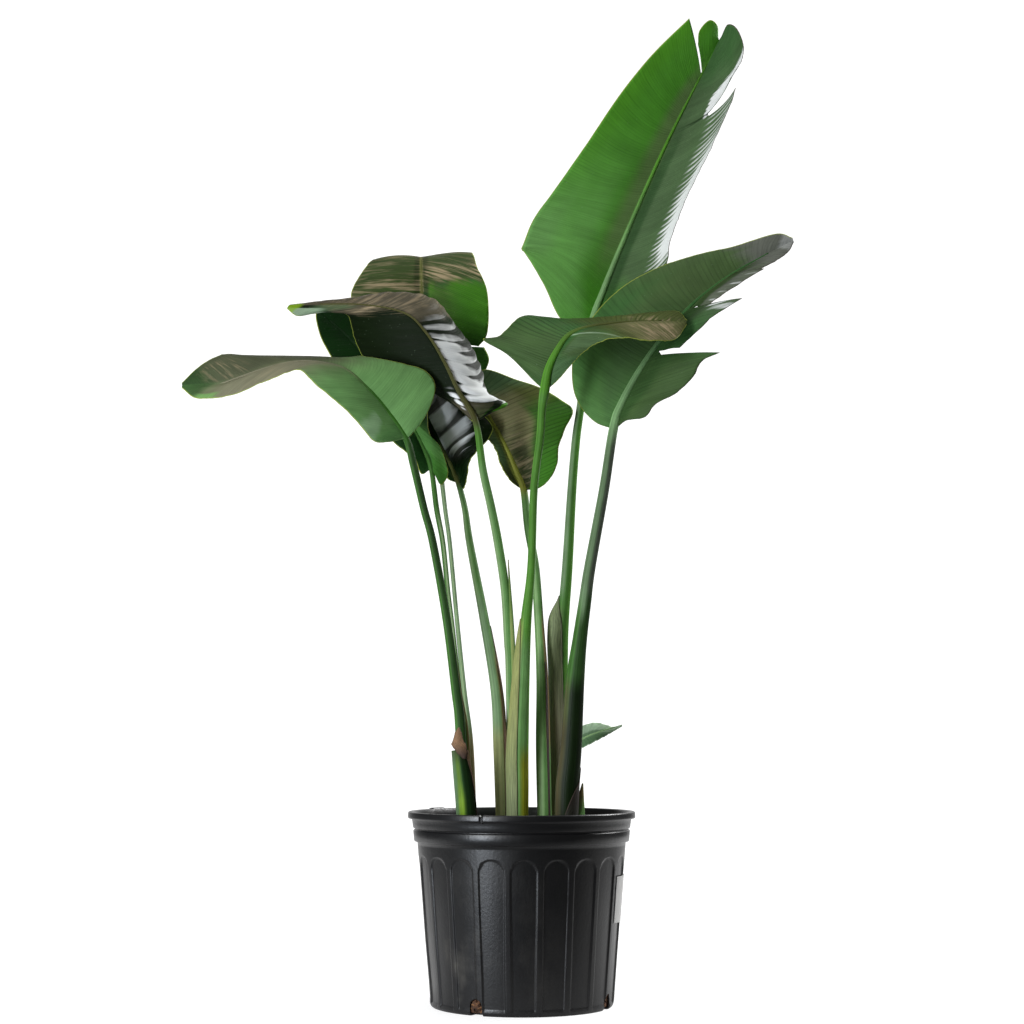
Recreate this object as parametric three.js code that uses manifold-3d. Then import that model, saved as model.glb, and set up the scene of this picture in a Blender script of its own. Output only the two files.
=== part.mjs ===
// A white bird of paradise in a plain black nursery pot, in millimetres, +Z up.
// The origin is the centre of the pot's flat underside. The plant's front faces -Y.

import * as THREE from 'three';
import { mergeVertices } from 'three/addons/utils/BufferGeometryUtils.js';
import Module from 'manifold-3d';

const wasm = await Module();
wasm.setup();

// Driving sizes
const CLEARANCE = 0.35;        // between neighbouring pieces
const BLADE_HALF = 0.6;        // half the thickness of a leaf blade
const BLADE_ROWS = 12;         // steps along a blade
const BLADE_COLUMNS = 4;       // steps from the midrib to an edge
const BASE_FAN = 0.88;         // how far the rows at a blade's base lag behind its margin
const RIPPLES = 5;
const STALK_SIDES = 6;
const STALK_STEPS = 16;
const SHOOT_STEPS = 7;
const STALK_DEPTH = 0.85;      // depth of a stalk for its width
const ROOT_DEPTH = 235;        // height at which the stalks end inside the soil

const POT_SEGMENTS = 40;
const RIM_RADIUS = 177.8;
const POT_HEIGHT = 298;
const WALL = 3.6;
const FLOOR = 4;
const WALL_TOP_RADIUS = 162.8; // outside, under the lower band
const WALL_FOOT_RADIUS = 143.5;
const WALL_TOP = 252;
const WALL_FOOT = 10;
const FLUTE_COUNT = 20;
const FLUTE_FIRST = 1;         // degrees right of the front
const FLUTE_WIDTH = 41;
const FLUTE_TOP = 232;
const FLUTE_BOTTOM = 14;
const FLUTE_DEPTH = 2.2;
const DRAIN_DEGREES = [-29, 75, 151, 255];
const DRAIN_WIDTH = 19;
const DRAIN_HEIGHT = 25;
const SOIL_TOP = 270;
const SOIL_RINGS = 5;
const SOIL_SPOKES = 30;
const SOIL_GAP_TOP = 5;        // between the soil's top edge and the wall
const SOIL_GAP_FOOT = 1.5;
const LABEL = { from: 66, to: 100, bottom: 130, top: 201, thickness: 0.6, steps: 8 };

const GREEN = { bright: '#3f7a22', mid: '#35602f', dark: '#23341c', pale: '#5f9254', olive: '#6a6a36' };
const COLOR = {
  pot: '#17191c',
  soil: '#4a3526',
  label: '#f2f2f0',
  stub: '#587a35',
  scrap: '#7a5a3c',
  spear: '#6d9a4c',
  sprout: '#6f8f3a',
};

// The leaves. Each stalk runs from the soil up to the blade as [x, y, z, half width].
// A blade has a midrib and two halves. bow and wave are shares of a half's width.
// Each half is a list of lobes, parted by tears.
// A lobe covers the midrib from one share of its length to another, and its points are
// the leaf's margin. tear is the share of the half's width that stays whole at its end.
// corners are the shares of the midrib at which the margin has a sharp point.
const LEAVES = [
  {
    name: 'leaf_tall', green: GREEN.bright, under: 1, bow: [0.05, -0.14], wave: 0.02,
    corners: [0.283, 0.931],
    stalk: [
      [56, 34, ROOT_DEPTH, 12], [60, 34, 393, 13], [63, 38, 536, 11.5], [67, 42, 600, 9.5],
      [74, 48, 685, 8.6], [82, 54, 811, 7.4], [89, 57, 893, 7], [96, 58, 943, 6.6], [106, 60, 1018, 6.2],
    ],
    rib: [
      [116, 60, 1088], [138, 68, 1150], [174, 80, 1240], [216, 88, 1338], [261, 92, 1435],
      [298, 92, 1507], [332, 90, 1575],
    ],
    left: [
      { from: 0, to: 0.85, tear: 0.25, points: [
        [112, 58, 1084], [67, 48, 1088], [40, 40, 1138], [1, 30, 1202], [14, 34, 1250], [51, 42, 1302],
        [104, 52, 1380], [161, 58, 1467], [218, 64, 1541], [281, 70, 1606]] },
      { from: 0.862, to: 1, points: [
        [296, 80, 1565], [298, 78, 1587], [315, 80, 1606], [329, 86, 1599], [331, 90, 1579]] },
    ],
    right: [
      { from: 0, to: 0.63, tear: 0.5, points: [
        [120, 57, 1084], [179, 20, 1084], [216, 5, 1127], [235, 0, 1175], [245, 5, 1212], [264, 8, 1253],
        [290, 10, 1313], [317, 12, 1372], [338, 14, 1431], [350, 18, 1471]] },
      { from: 0.645, to: 1, points: [
        [346, 50, 1498], [364, 45, 1526], [369, 45, 1551], [359, 60, 1585], [345, 75, 1596],
        [335, 90, 1579]] },
    ],
  },
  {
    name: 'leaf_right', green: GREEN.mid, under: 1, bow: [0.09, 0.07], wave: 0.02,
    stalk: [
      [68, -8, ROOT_DEPTH, 17], [71, -10, 330, 18], [77, -14, 393, 17], [84, -24, 502, 14.5],
      [91, -30, 564, 11.5], [99, -36, 622, 10], [107, -42, 678, 9], [129, -54, 798, 8],
    ],
    rib: [
      [145, -62, 895], [157, -66, 931], [185, -75, 983], [218, -85, 1030], [260, -95, 1078],
      [312, -105, 1120], [368, -112, 1153], [422, -120, 1181],
    ],
    left: [
      { from: 0, to: 1, points: [
        [142, -62, 894], [115, -55, 906], [91, -48, 935], [80, -42, 975], [85, -40, 1030], [112, -45, 1074],
        [159, -55, 1120], [225, -70, 1153], [280, -85, 1168], [332, -98, 1177], [396, -112, 1193],
        [421, -120, 1185]] },
    ],
    right: [
      { from: 0, to: 0.39, tear: 0.25, points: [
        [149, -64, 895], [166, -80, 905], [191, -100, 906], [207, -112, 925], [236, -122, 940],
        [263, -132, 965], [277, -138, 987], [304, -145, 999]] },
      { from: 0.42, to: 0.57, tear: 0.25, points: [
        [245, -115, 1012], [270, -128, 1033], [297, -138, 1059], [338, -150, 1083]] },
      { from: 0.595, to: 0.745, tear: 0.25, points: [
        [277, -112, 1069], [302, -125, 1089], [334, -135, 1108], [373, -145, 1130]] },
      { from: 0.77, to: 1, points: [
        [346, -122, 1124], [389, -128, 1143], [413, -126, 1161], [423, -120, 1178]] },
    ],
  },
  {
    name: 'leaf_front', green: GREEN.olive, under: 1, bow: [0.06, 0.05], wave: 0.02,
    corners: [0.3],
    stalk: [
      [-4, -18, ROOT_DEPTH, 14], [-4, -20, 330, 15], [-4, -22, 393, 15], [1, -34, 502, 11.5],
      [7, -50, 595, 8.5], [15, -66, 676, 6.4], [19, -92, 794, 6], [28, -112, 869, 6], [31, -124, 915, 6],
    ],
    rib: [
      [36, -130, 942], [43, -138, 978], [59, -146, 1008], [83, -150, 1032], [129, -148, 1042],
      [189, -142, 1049], [253, -136, 1049],
    ],
    left: [
      { from: 0, to: 1, points: [
        [34, -130, 944], [19, -124, 959], [-21, -112, 1002], [-60, -100, 1028], [-34, -92, 1037],
        [1, -85, 1067], [60, -88, 1062], [123, -90, 1066], [185, -96, 1071], [238, -110, 1071],
        [255, -134, 1052]] },
    ],
    right: [
      { from: 0, to: 1, points: [
        [39, -132, 944], [52, -140, 961], [74, -152, 986], [93, -165, 1001], [118, -180, 1011],
        [151, -188, 1015], [197, -184, 1010], [233, -166, 1015], [254, -138, 1044]] },
    ],
  },
  {
    name: 'leaf_middle', green: GREEN.olive, under: 1, bow: [0.06, 0.1], wave: 0.02,
    stalk: [
      [37, 2, ROOT_DEPTH, 11], [34, 8, 393, 11.5], [33, 16, 503, 9.5], [28, 28, 599, 7.5],
      [22, 42, 685, 7], [11, 52, 749, 6.4],
    ],
    rib: [
      [4, 62, 812], [-10, 64, 848], [-30, 68, 893], [-49, 72, 928], [-67, 74, 966], [-81, 76, 1000],
    ],
    left: [
      { from: 0, to: 1, points: [
        [1, 62, 813], [-18, 56, 826], [-33, 52, 850], [-43, 52, 879], [-66, 58, 908], [-88, 66, 945],
        [-97, 73, 980], [-87, 77, 1002]] },
    ],
    right: [
      { from: 0, to: 1, points: [
        [8, 62, 812], [29, 54, 814], [46, 48, 828], [58, 44, 852], [61, 40, 879], [72, 40, 909],
        [84, 44, 939], [65, 56, 959], [31, 62, 980], [-10, 68, 995], [-54, 74, 1012], [-76, 77, 1005]] },
    ],
  },
  {
    name: 'leaf_arched', green: GREEN.dark, under: 1, bow: [0.08, 0.14], wave: 0.02,
    corners: [0.182],
    stalk: [
      [-15, 34, ROOT_DEPTH, 7], [-18, 26, 503, 7], [-21, 20, 567, 7], [-26, 12, 646, 7],
      [-37, 2, 720, 7], [-48, -8, 776, 6.6], [-61, -20, 834, 6.2],
    ],
    rib: [
      [-73, -40, 909], [-94, -48, 946], [-114, -56, 987], [-136, -60, 1026], [-159, -58, 1057],
      [-192, -48, 1084], [-250, -24, 1099], [-311, 0, 1106], [-378, 20, 1105],
    ],
    left: [
      { from: 0, to: 1, points: [
        [-77, -40, 908], [-116, -28, 899], [-169, -14, 913], [-217, -2, 949], [-246, 6, 1008],
        [-268, 10, 1052], [-278, 12, 1089], [-308, 14, 1095], [-338, 16, 1093], [-362, 18, 1090],
        [-379, 20, 1102]] },
    ],
    right: [
      { from: 0, to: 1, points: [
        [-69, -38, 910], [-47, -25, 925], [-21, -15, 941], [-52, 5, 960], [-81, 15, 1001],
        [-105, 20, 1038], [-125, 24, 1085], [-148, 20, 1118], [-199, 10, 1126], [-273, 10, 1116],
        [-332, 14, 1112], [-374, 20, 1109]] },
    ],
  },
  {
    name: 'leaf_back', green: GREEN.olive, under: -1, bow: [0.06, 0.06], wave: 0.02,
    stalk: [
      [-77, 28, ROOT_DEPTH, 7.5], [-82, 34, 393, 6.5], [-92, 42, 488, 4.5], [-104, 56, 605, 3.6],
      [-116, 70, 726, 3.6], [-124, 78, 783, 3.6], [-133, 88, 860, 4],
    ],
    rib: [
      [-140, 100, 933], [-151, 106, 1000], [-160, 112, 1069], [-165, 118, 1138], [-167, 126, 1187],
      [-169, 150, 1217], [-171, 200, 1221], [-171, 245, 1191], [-170, 265, 1134],
    ],
    left: [
      { from: 0, to: 1, points: [
        [-144, 100, 934], [-186, 100, 957], [-233, 104, 1015], [-263, 106, 1073], [-282, 108, 1133],
        [-278, 114, 1162], [-256, 126, 1199], [-248, 150, 1213], [-244, 200, 1204], [-226, 245, 1165],
        [-174, 266, 1132]] },
    ],
    right: [
      { from: 0, to: 0.29, tear: 0.5, points: [
        [-137, 100, 934], [-97, 92, 945], [-71, 88, 977], [-61, 86, 1007], [-53, 88, 1032],
        [-61, 92, 1053]] },
      { from: 0.31, to: 1, points: [
        [-73, 96, 1057], [-56, 92, 1075], [-53, 92, 1107], [-56, 96, 1150], [-70, 112, 1191],
        [-79, 150, 1220], [-90, 200, 1211], [-114, 245, 1172], [-166, 266, 1132]] },
    ],
  },
  {
    name: 'leaf_low', green: GREEN.mid, under: 1, bow: [0.08, 0.08], wave: 0.02,
    stalk: [
      [-82, 8, ROOT_DEPTH, 8], [-89, 9, 409, 7], [-99, 9, 487, 4.6], [-110, 8, 590, 3.8],
      [-117, 6, 645, 4], [-125, 5, 720, 4.2], [-135, 4, 774, 4.4],
    ],
    rib: [
      [-144, 2, 838], [-163, 14, 887], [-200, 38, 953], [-247, 58, 1020], [-294, 76, 1076], [-337, 90, 1113],
    ],
    left: [
      { from: 0, to: 1, points: [
        [-147, 2, 837], [-160, -4, 830], [-171, -2, 856], [-184, 4, 866], [-209, 12, 887], [-274, 36, 951],
        [-308, 56, 1025], [-328, 72, 1063], [-338, 84, 1096], [-339, 90, 1113]] },
    ],
    right: [
      { from: 0, to: 1, points: [
        [-140, 2, 834], [-128, -4, 812], [-117, -5, 829], [-121, -3, 851], [-130, 2, 875],
        [-148, 10, 902], [-156, 34, 955], [-195, 58, 1030], [-246, 76, 1085], [-294, 88, 1119],
        [-334, 91, 1118]] },
    ],
  },
  {
    name: 'leaf_far_left', green: GREEN.pale, under: -1, bow: [0.07, 0.07], wave: 0.02,
    stalk: [
      [-88, -14, ROOT_DEPTH, 9], [-96, -16, 424, 8], [-103, -20, 487, 7.4], [-118, -30, 600, 6.6],
      [-139, -42, 716, 6.2], [-153, -48, 769, 6], [-169, -56, 836, 6],
    ],
    rib: [
      [-181, -60, 879], [-200, -64, 907], [-222, -70, 936], [-250, -76, 964], [-279, -78, 987],
      [-324, -74, 998], [-365, -66, 999], [-412, -52, 989], [-472, -34, 971], [-540, -20, 970],
    ],
    left: [
      { from: 0, to: 1, points: [
        [-186, -60, 878], [-208, -74, 871], [-231, -86, 871], [-255, -98, 899], [-283, -108, 927],
        [-313, -112, 951], [-344, -106, 978], [-368, -98, 974], [-405, -84, 963], [-451, -64, 949],
        [-485, -48, 945], [-517, -34, 947], [-540, -22, 965]] },
    ],
    right: [
      { from: 0, to: 1, points: [
        [-175, -60, 882], [-154, -62, 908], [-138, -62, 943], [-137, -58, 970], [-155, -56, 989],
        [-189, -52, 999], [-244, -44, 1011], [-289, -34, 1012], [-334, -24, 1016], [-413, -8, 1020],
        [-468, -2, 1023], [-490, -2, 1018], [-518, -8, 1000], [-541, -18, 974]] },
    ],
  },
  {
    name: 'leaf_inner', green: GREEN.dark, under: 1, bow: [0.06, 0.1], wave: 0.02,
    stalk: [
      [-29, 18, ROOT_DEPTH, 10], [-34, 20, 393, 10.5], [-40, 26, 488, 9.2], [-60, 32, 604, 7.5],
      [-83, 42, 724, 6], [-91, 46, 779, 5],
    ],
    rib: [
      [-102, 50, 822], [-112, 52, 847], [-124, 55, 871], [-137, 59, 898], [-152, 64, 929],
      [-169, 70, 963], [-186, 76, 995],
    ],
    left: [
      { from: 0, to: 1, points: [
        [-106, 50, 823], [-120, 46, 829], [-133, 44, 855], [-151, 46, 882], [-174, 52, 915],
        [-193, 60, 953], [-191, 72, 988]] },
    ],
    right: [
      { from: 0, to: 1, points: [
        [-99, 50, 819], [-93, 46, 812], [-88, 42, 826], [-84, 38, 852], [-73, 34, 869],
        [-57, 32, 885], [-46, 36, 911], [-67, 44, 937], [-96, 54, 962], [-136, 66, 987],
        [-181, 75, 996]] },
    ],
  },
  {
    name: 'leaf_small', rows: 5, green: GREEN.pale, under: 1, bow: [0.08, 0.08], wave: 0.01,
    stalk: [
      [83, 46, ROOT_DEPTH, 3], [84, 47, 300, 3], [86, 49, 350, 2.6], [90, 51, 385, 2.2],
    ],
    rib: [[95, 52, 404], [108, 56, 413], [126, 61, 421], [161, 70, 431]],
    left: [
      { from: 0, to: 1, points: [
        [94, 53, 407], [98, 57, 423], [122, 66, 433], [150, 71, 428], [160, 70, 432]] },
    ],
    right: [
      { from: 0, to: 1, points: [
        [97, 51, 402], [101, 46, 397], [124, 52, 404], [150, 62, 419], [161, 69, 429]] },
    ],
  },
];

// Pieces at the foot of the plant, as [x, y, z, half width] like the stalks
const CUT_STUB = [
  [-84, -46, ROOT_DEPTH, 15], [-84, -46, 300, 16], [-88, -46, 350, 14.5], [-95, -46, 392, 11.5],
];
const SPEAR = [
  [-8, 7, ROOT_DEPTH, 4.5], [-10, 8, 393, 4.5], [-12, 11, 503, 4.2], [-15, 10, 585, 3.6], [-21, 8, 694, 0.8],
];
const SPROUT = [[91, 8, ROOT_DEPTH, 7], [92, 8, 290, 7], [93, 8, 318, 5], [96, 8, 341, 1.2]];

// Shape helpers

const point = (values) => new THREE.Vector3(values[0], values[1], values[2]);

function smoothCurve(points) {
  return new THREE.CatmullRomCurve3(points, false, 'catmullrom', 0.5);
}

// Turns a closed triangle list inside out if its faces point inwards.
function closedGeometry(positions, triangles) {
  let volume = 0;
  const corners = [new THREE.Vector3(), new THREE.Vector3(), new THREE.Vector3()];
  for (let i = 0; i < triangles.length; i += 3) {
    corners.forEach((corner, k) => corner.fromArray(positions, triangles[i + k] * 3));
    volume += corners[0].dot(corners[1].clone().cross(corners[2]));
  }
  if (volume < 0) {
    triangles.reverse();
  }
  const geometry = new THREE.BufferGeometry();
  geometry.setAttribute('position', new THREE.Float32BufferAttribute(positions, 3));
  geometry.setIndex(triangles);
  return geometry;
}

// Joins rings of points, one after another, into a solid with flat ends.
function loft(rings) {
  const sides = rings[0].length;
  const positions = rings.flat().flatMap((p) => [p.x, p.y, p.z]);
  const triangles = [];
  for (let r = 0; r + 1 < rings.length; r += 1) {
    for (let s = 0; s < sides; s += 1) {
      const a = r * sides + s;
      const b = r * sides + ((s + 1) % sides);
      triangles.push(a, b, b + sides, a, b + sides, a + sides);
    }
  }
  const last = (rings.length - 1) * sides;
  for (let s = 1; s + 1 < sides; s += 1) {
    triangles.push(0, s + 1, s, last, last + s, last + s + 1);
  }
  return closedGeometry(positions, triangles);
}

// Gives a sheet of points its thickness. A cell that is skipped is a tear.
function thickSheet(grid, half, skipped) {
  const rows = grid.length;
  const columns = grid[0].length;
  const isCell = (r, c) => r >= 0 && c >= 0 && r < rows - 1 && c < columns - 1 && !skipped(r, c);
  const cellNormal = (r, c) => {
    if (r < 0 || c < 0 || r >= rows - 1 || c >= columns - 1) {
      return new THREE.Vector3();
    }
    const rising = grid[r + 1][c + 1].clone().sub(grid[r][c]);
    const falling = grid[r][c + 1].clone().sub(grid[r + 1][c]);
    return falling.cross(rising);
  };
  const positions = [];
  for (const sign of [1, -1]) {
    for (let r = 0; r < rows; r += 1) {
      for (let c = 0; c < columns; c += 1) {
        const normal = cellNormal(r - 1, c - 1).add(cellNormal(r - 1, c))
          .add(cellNormal(r, c - 1)).add(cellNormal(r, c)).normalize();
        const p = grid[r][c].clone().addScaledVector(normal, sign * half);
        positions.push(p.x, p.y, p.z);
      }
    }
  }
  const back = rows * columns;
  const index = (r, c) => r * columns + c;
  const triangles = [];
  const wall = (a, b) => triangles.push(a, back + a, back + b, a, back + b, b);
  for (let r = 0; r < rows - 1; r += 1) {
    for (let c = 0; c < columns - 1; c += 1) {
      if (!isCell(r, c)) {
        continue;
      }
      const [a, b, d, e] = [index(r, c), index(r, c + 1), index(r + 1, c + 1), index(r + 1, c)];
      triangles.push(a, b, d, a, d, e);
      triangles.push(back + a, back + d, back + b, back + a, back + e, back + d);
      if (!isCell(r - 1, c)) wall(a, b);
      if (!isCell(r, c + 1)) wall(b, d);
      if (!isCell(r + 1, c)) wall(d, e);
      if (!isCell(r, c - 1)) wall(e, a);
    }
  }
  return closedGeometry(positions, triangles);
}

// A stalk is a smooth run of flattened rings through its points, wider than deep.
function stalkRings(path, extra, steps = STALK_STEPS) {
  const line = smoothCurve(path.map(point));
  const girth = smoothCurve(path.map((p) => new THREE.Vector3(p[3], 0, 0)));
  const front = new THREE.Vector3(0, -1, 0);
  const rings = [];
  for (let i = 0; i <= steps; i += 1) {
    const t = i / steps;
    const centre = line.getPoint(t);
    const along = line.getTangent(t);
    const side = along.clone().cross(front).normalize();
    const depth = side.clone().cross(along).normalize();
    const halfWidth = girth.getPoint(t).x + extra;
    const ring = [];
    for (let s = 0; s < STALK_SIDES; s += 1) {
      const angle = (s / STALK_SIDES) * Math.PI * 2;
      ring.push(centre.clone()
        .addScaledVector(side, Math.cos(angle) * halfWidth)
        .addScaledVector(depth, Math.sin(angle) * halfWidth * STALK_DEPTH));
    }
    rings.push(ring);
  }
  return rings;
}

// Solids that are cut or joined

function toSolid(geometry) {
  const plain = geometry.clone();
  plain.deleteAttribute('normal');
  plain.deleteAttribute('uv');
  const merged = mergeVertices(plain);
  return new wasm.Manifold(new wasm.Mesh({
    numProp: 3,
    vertProperties: new Float32Array(merged.attributes.position.array),
    triVerts: new Uint32Array(merged.index.array),
  }));
}

function toGeometry(solid) {
  const mesh = solid.getMesh();
  const geometry = new THREE.BufferGeometry();
  geometry.setAttribute('position', new THREE.Float32BufferAttribute(Array.from(mesh.vertProperties), 3));
  geometry.setIndex(Array.from(mesh.triVerts));
  return geometry;
}

// Keeps the biggest body and drops the scraps that a cut leaves loose.
function biggest(solid) {
  return solid.decompose().reduce((best, body) => (body.volume() > best.volume() ? body : best));
}

const plant = new THREE.Group();

function addMesh(name, geometry, color, roughness) {
  const flat = geometry.index ? geometry.toNonIndexed() : geometry;
  flat.computeVertexNormals();
  const mesh = new THREE.Mesh(flat, new THREE.MeshStandardMaterial({ color, roughness, metalness: 0 }));
  mesh.name = name;
  plant.add(mesh);
}

// Leaf blades

// The midrib's shares of length at which a blade has its rows: closer together at the
// ends, one on each side of every tear and one at every corner.
function rowShares(leaf) {
  const rows = leaf.rows ?? BLADE_ROWS;
  const tears = [...leaf.left, ...leaf.right].flatMap((lobe) => [lobe.from, lobe.to]);
  const fixed = [...tears.filter((t) => t > 0 && t < 1), ...(leaf.corners ?? [])];
  const shares = [];
  for (let i = 0; i <= rows; i += 1) {
    const s = i / rows;
    const t = s - 0.1 * Math.sin(2 * Math.PI * s);
    const near = fixed.some((f) => Math.abs(f - t) < 0.4 / rows);
    if (!near) {
      shares.push(t);
    }
  }
  return [...shares, ...fixed].sort((a, b) => a - b);
}

function marginPoint(lobes, t) {
  const lobe = lobes.find((l) => t >= l.from - 1e-6 && t <= l.to + 1e-6) ?? lobes.find((l) => l.from > t);
  const share = Math.min(Math.max((t - lobe.from) / (lobe.to - lobe.from), 0), 1);
  return smoothCurve(lobe.points.map(point)).getPoint(share);
}

// Near the base the rows fan out round the lobes, so the midrib's share lags behind.
const ribShare = (t) => t * (1 - BASE_FAN * (1 - t) ** 4);

// One half's point, a share of the way from the midrib to the margin.
function halfPoint(leaf, side, t, share) {
  const ribLine = smoothCurve(leaf.rib.map(point));
  const rib = ribLine.getPoint(ribShare(t));
  const margin = marginPoint(side < 0 ? leaf.left : leaf.right, t);
  const across = margin.clone().sub(rib);
  const along = ribLine.getTangent(ribShare(t));
  const normal = across.clone().cross(along).multiplyScalar(side).normalize();
  const bow = leaf.bow[side < 0 ? 0 : 1] * 4 * share * (1 - share);
  const ripple = leaf.wave * Math.sin(t * RIPPLES * Math.PI + side) * share ** 2;
  return rib.addScaledVector(across, share)
    .addScaledVector(normal, (bow + ripple) * across.length());
}

function bladeGrid(leaf) {
  return rowShares(leaf).map((t) => {
    const row = [];
    for (let c = -BLADE_COLUMNS; c <= BLADE_COLUMNS; c += 1) {
      row.push(halfPoint(leaf, Math.sign(c) || 1, t, Math.abs(c) / BLADE_COLUMNS));
    }
    return row;
  });
}

function tornCells(leaf) {
  const shares = rowShares(leaf);
  return (r, c) => {
    const leftSide = c < BLADE_COLUMNS;
    const lobes = leftSide ? leaf.left : leaf.right;
    const outer = leftSide ? BLADE_COLUMNS - c : c - BLADE_COLUMNS + 1;
    const torn = lobes.find((lobe) => Math.abs(lobe.to - shares[r]) < 1e-6 && lobe.tear !== undefined);
    return torn !== undefined && outer / BLADE_COLUMNS > torn.tear + 1e-6;
  };
}

// The stalk goes on as the midrib, sunk into the blade's underside, and tapers to its tip.
const RIB_END = 0.9;
const RIB_STEPS = 6;
const RIB_TIP = 1.2;
const RIB_RISE = 0.4;          // how far the midrib's centre stands off the blade, for its half width

function stalkPath(leaf) {
  const top = leaf.stalk[leaf.stalk.length - 1][3];
  const ribLine = smoothCurve(leaf.rib.map(point));
  const path = leaf.stalk.map((p) => [...p]);
  for (let i = 0; i <= RIB_STEPS; i += 1) {
    const t = (i / RIB_STEPS) * RIB_END;
    const radius = top * 0.9 + (RIB_TIP - top * 0.9) * (t / RIB_END);
    const across = marginPoint(leaf.right, t).sub(marginPoint(leaf.left, t)).normalize();
    const normal = across.cross(ribLine.getTangent(t)).normalize();
    const centre = ribLine.getPoint(t).addScaledVector(normal, leaf.under * radius * RIB_RISE);
    path.push([centre.x, centre.y, centre.z, radius]);
  }
  return path;
}

const soilHoles = [];

// The plain hole in the soil that the foot of a stem stands in
function holeSolid(path) {
  const [x, y, z, half] = path[0];
  const deeper = [[x, y, z - CLEARANCE, half], ...path.slice(1)];
  return toSolid(loft(stalkRings(deeper, CLEARANCE)));
}

function addLeaf(leaf) {
  const blade = toSolid(thickSheet(bladeGrid(leaf), BLADE_HALF, tornCells(leaf)));
  const stalk = toSolid(loft(stalkRings(stalkPath(leaf), 0)));
  addMesh(leaf.name, toGeometry(biggest(blade.add(stalk))), leaf.green, 0.45);
  soilHoles.push(holeSolid(leaf.stalk));
}

LEAVES.forEach(addLeaf);

// Cut base of an old leaf, with the dry scrap left on its top, and two young shoots

function addShoot(name, path, color) {
  addMesh(name, loft(stalkRings(path, 0, SHOOT_STEPS)), color, 0.55);
  soilHoles.push(holeSolid(path));
}

const SCRAP_ROWS = [
  { middle: [-96, -47, 393.5], half: 9 },
  { middle: [-100, -50, 401], half: 7 },
  { middle: [-103, -51, 411], half: 5 },
  { middle: [-106, -49, 424], half: 1.5 },
];
const SCRAP_HALF = 0.7;
const SCRAP_BEND = 2.5;

function addScrap() {
  const grid = SCRAP_ROWS.map(({ middle, half }) => [-1, -0.5, 0, 0.5, 1].map((across) => (
    point(middle).add(new THREE.Vector3(across * half, across * across * SCRAP_BEND, 0)))));
  addMesh('cut_stub_scrap', thickSheet(grid, SCRAP_HALF, () => false), COLOR.scrap, 0.9);
}

addShoot('cut_stub', CUT_STUB, COLOR.stub);
addScrap();
addShoot('spear', SPEAR, COLOR.spear);
addShoot('sprout', SPROUT, COLOR.sprout);

// Pot

// A direction in plan, in degrees to the right of the front
function outward(degrees) {
  const angle = THREE.MathUtils.degToRad(degrees);
  return new THREE.Vector3(Math.sin(angle), -Math.cos(angle), 0);
}

function wallRadius(z) {
  const share = (z - WALL_FOOT) / (WALL_TOP - WALL_FOOT);
  return WALL_FOOT_RADIUS + share * (WALL_TOP_RADIUS - WALL_FOOT_RADIUS);
}

function potBody() {
  const profile = [
    [0, 0], [139, 0], [141.5, 3], [WALL_FOOT_RADIUS, WALL_FOOT], [WALL_TOP_RADIUS, WALL_TOP],
    [169, 253], [169.4, 269.5], [165.6, 270.5], [165.6, 272.5], [170, 273.5], [171, 287],
    [RIM_RADIUS - 0.8, 287.6], [RIM_RADIUS, 289], [RIM_RADIUS - 0.3, POT_HEIGHT - 0.8],
    [RIM_RADIUS - 1.5, POT_HEIGHT], [RIM_RADIUS - 9, POT_HEIGHT], [wallRadius(WALL_TOP) - WALL, WALL_TOP],
    [wallRadius(FLOOR) - WALL, FLOOR], [0, FLOOR],
  ].map(([r, z]) => new THREE.Vector2(r, z));
  return new THREE.LatheGeometry(profile, POT_SEGMENTS).rotateX(Math.PI / 2);
}

// A tall arch laid flat against the sloping wall. Its back lies under the wall's surface.
function fluteCutter(degrees) {
  const half = FLUTE_WIDTH / 2;
  const slope = (WALL_TOP_RADIUS - WALL_FOOT_RADIUS) / (WALL_TOP - WALL_FOOT);
  const outline = new THREE.Shape();
  outline.moveTo(half - 2.5, FLUTE_BOTTOM);
  outline.lineTo(half, FLUTE_TOP - half);
  outline.absarc(0, FLUTE_TOP - half, half, 0, Math.PI, false);
  outline.lineTo(2.5 - half, FLUTE_BOTTOM);
  const cutter = new THREE.ExtrudeGeometry(outline, { depth: 10, bevelEnabled: false, curveSegments: 5 });
  const out = outward(degrees);
  const right = new THREE.Vector3(0, 0, 1).cross(out).negate();
  const place = new THREE.Matrix4().makeBasis(
    right.negate(), out.clone().multiplyScalar(slope).add(new THREE.Vector3(0, 0, 1)), out);
  place.setPosition(out.clone().multiplyScalar(wallRadius(0) - FLUTE_DEPTH));
  return cutter.applyMatrix4(place);
}

function drainCutter(degrees) {
  const cutter = new THREE.BoxGeometry(DRAIN_WIDTH, 30, 2 * DRAIN_HEIGHT);
  cutter.translate(0, -(WALL_FOOT_RADIUS - 2), 0);
  return cutter.rotateZ(THREE.MathUtils.degToRad(degrees));
}

function addPot() {
  let pot = toSolid(potBody());
  for (let i = 0; i < FLUTE_COUNT; i += 1) {
    pot = pot.subtract(toSolid(fluteCutter(FLUTE_FIRST + (i * 360) / FLUTE_COUNT)));
  }
  for (const degrees of DRAIN_DEGREES) {
    pot = pot.subtract(toSolid(drainCutter(degrees)));
  }
  addMesh('pot', toGeometry(pot), COLOR.pot, 0.4);
}

// The height of the lumps on the soil's top, made of two crossing waves
function soilLump(x, y) {
  const broad = 3 * Math.sin(x * 0.06 + 1) * Math.cos(y * 0.07);
  const narrow = 1.5 * Math.sin(x * 0.13 - y * 0.11);
  return broad + narrow;
}

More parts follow.
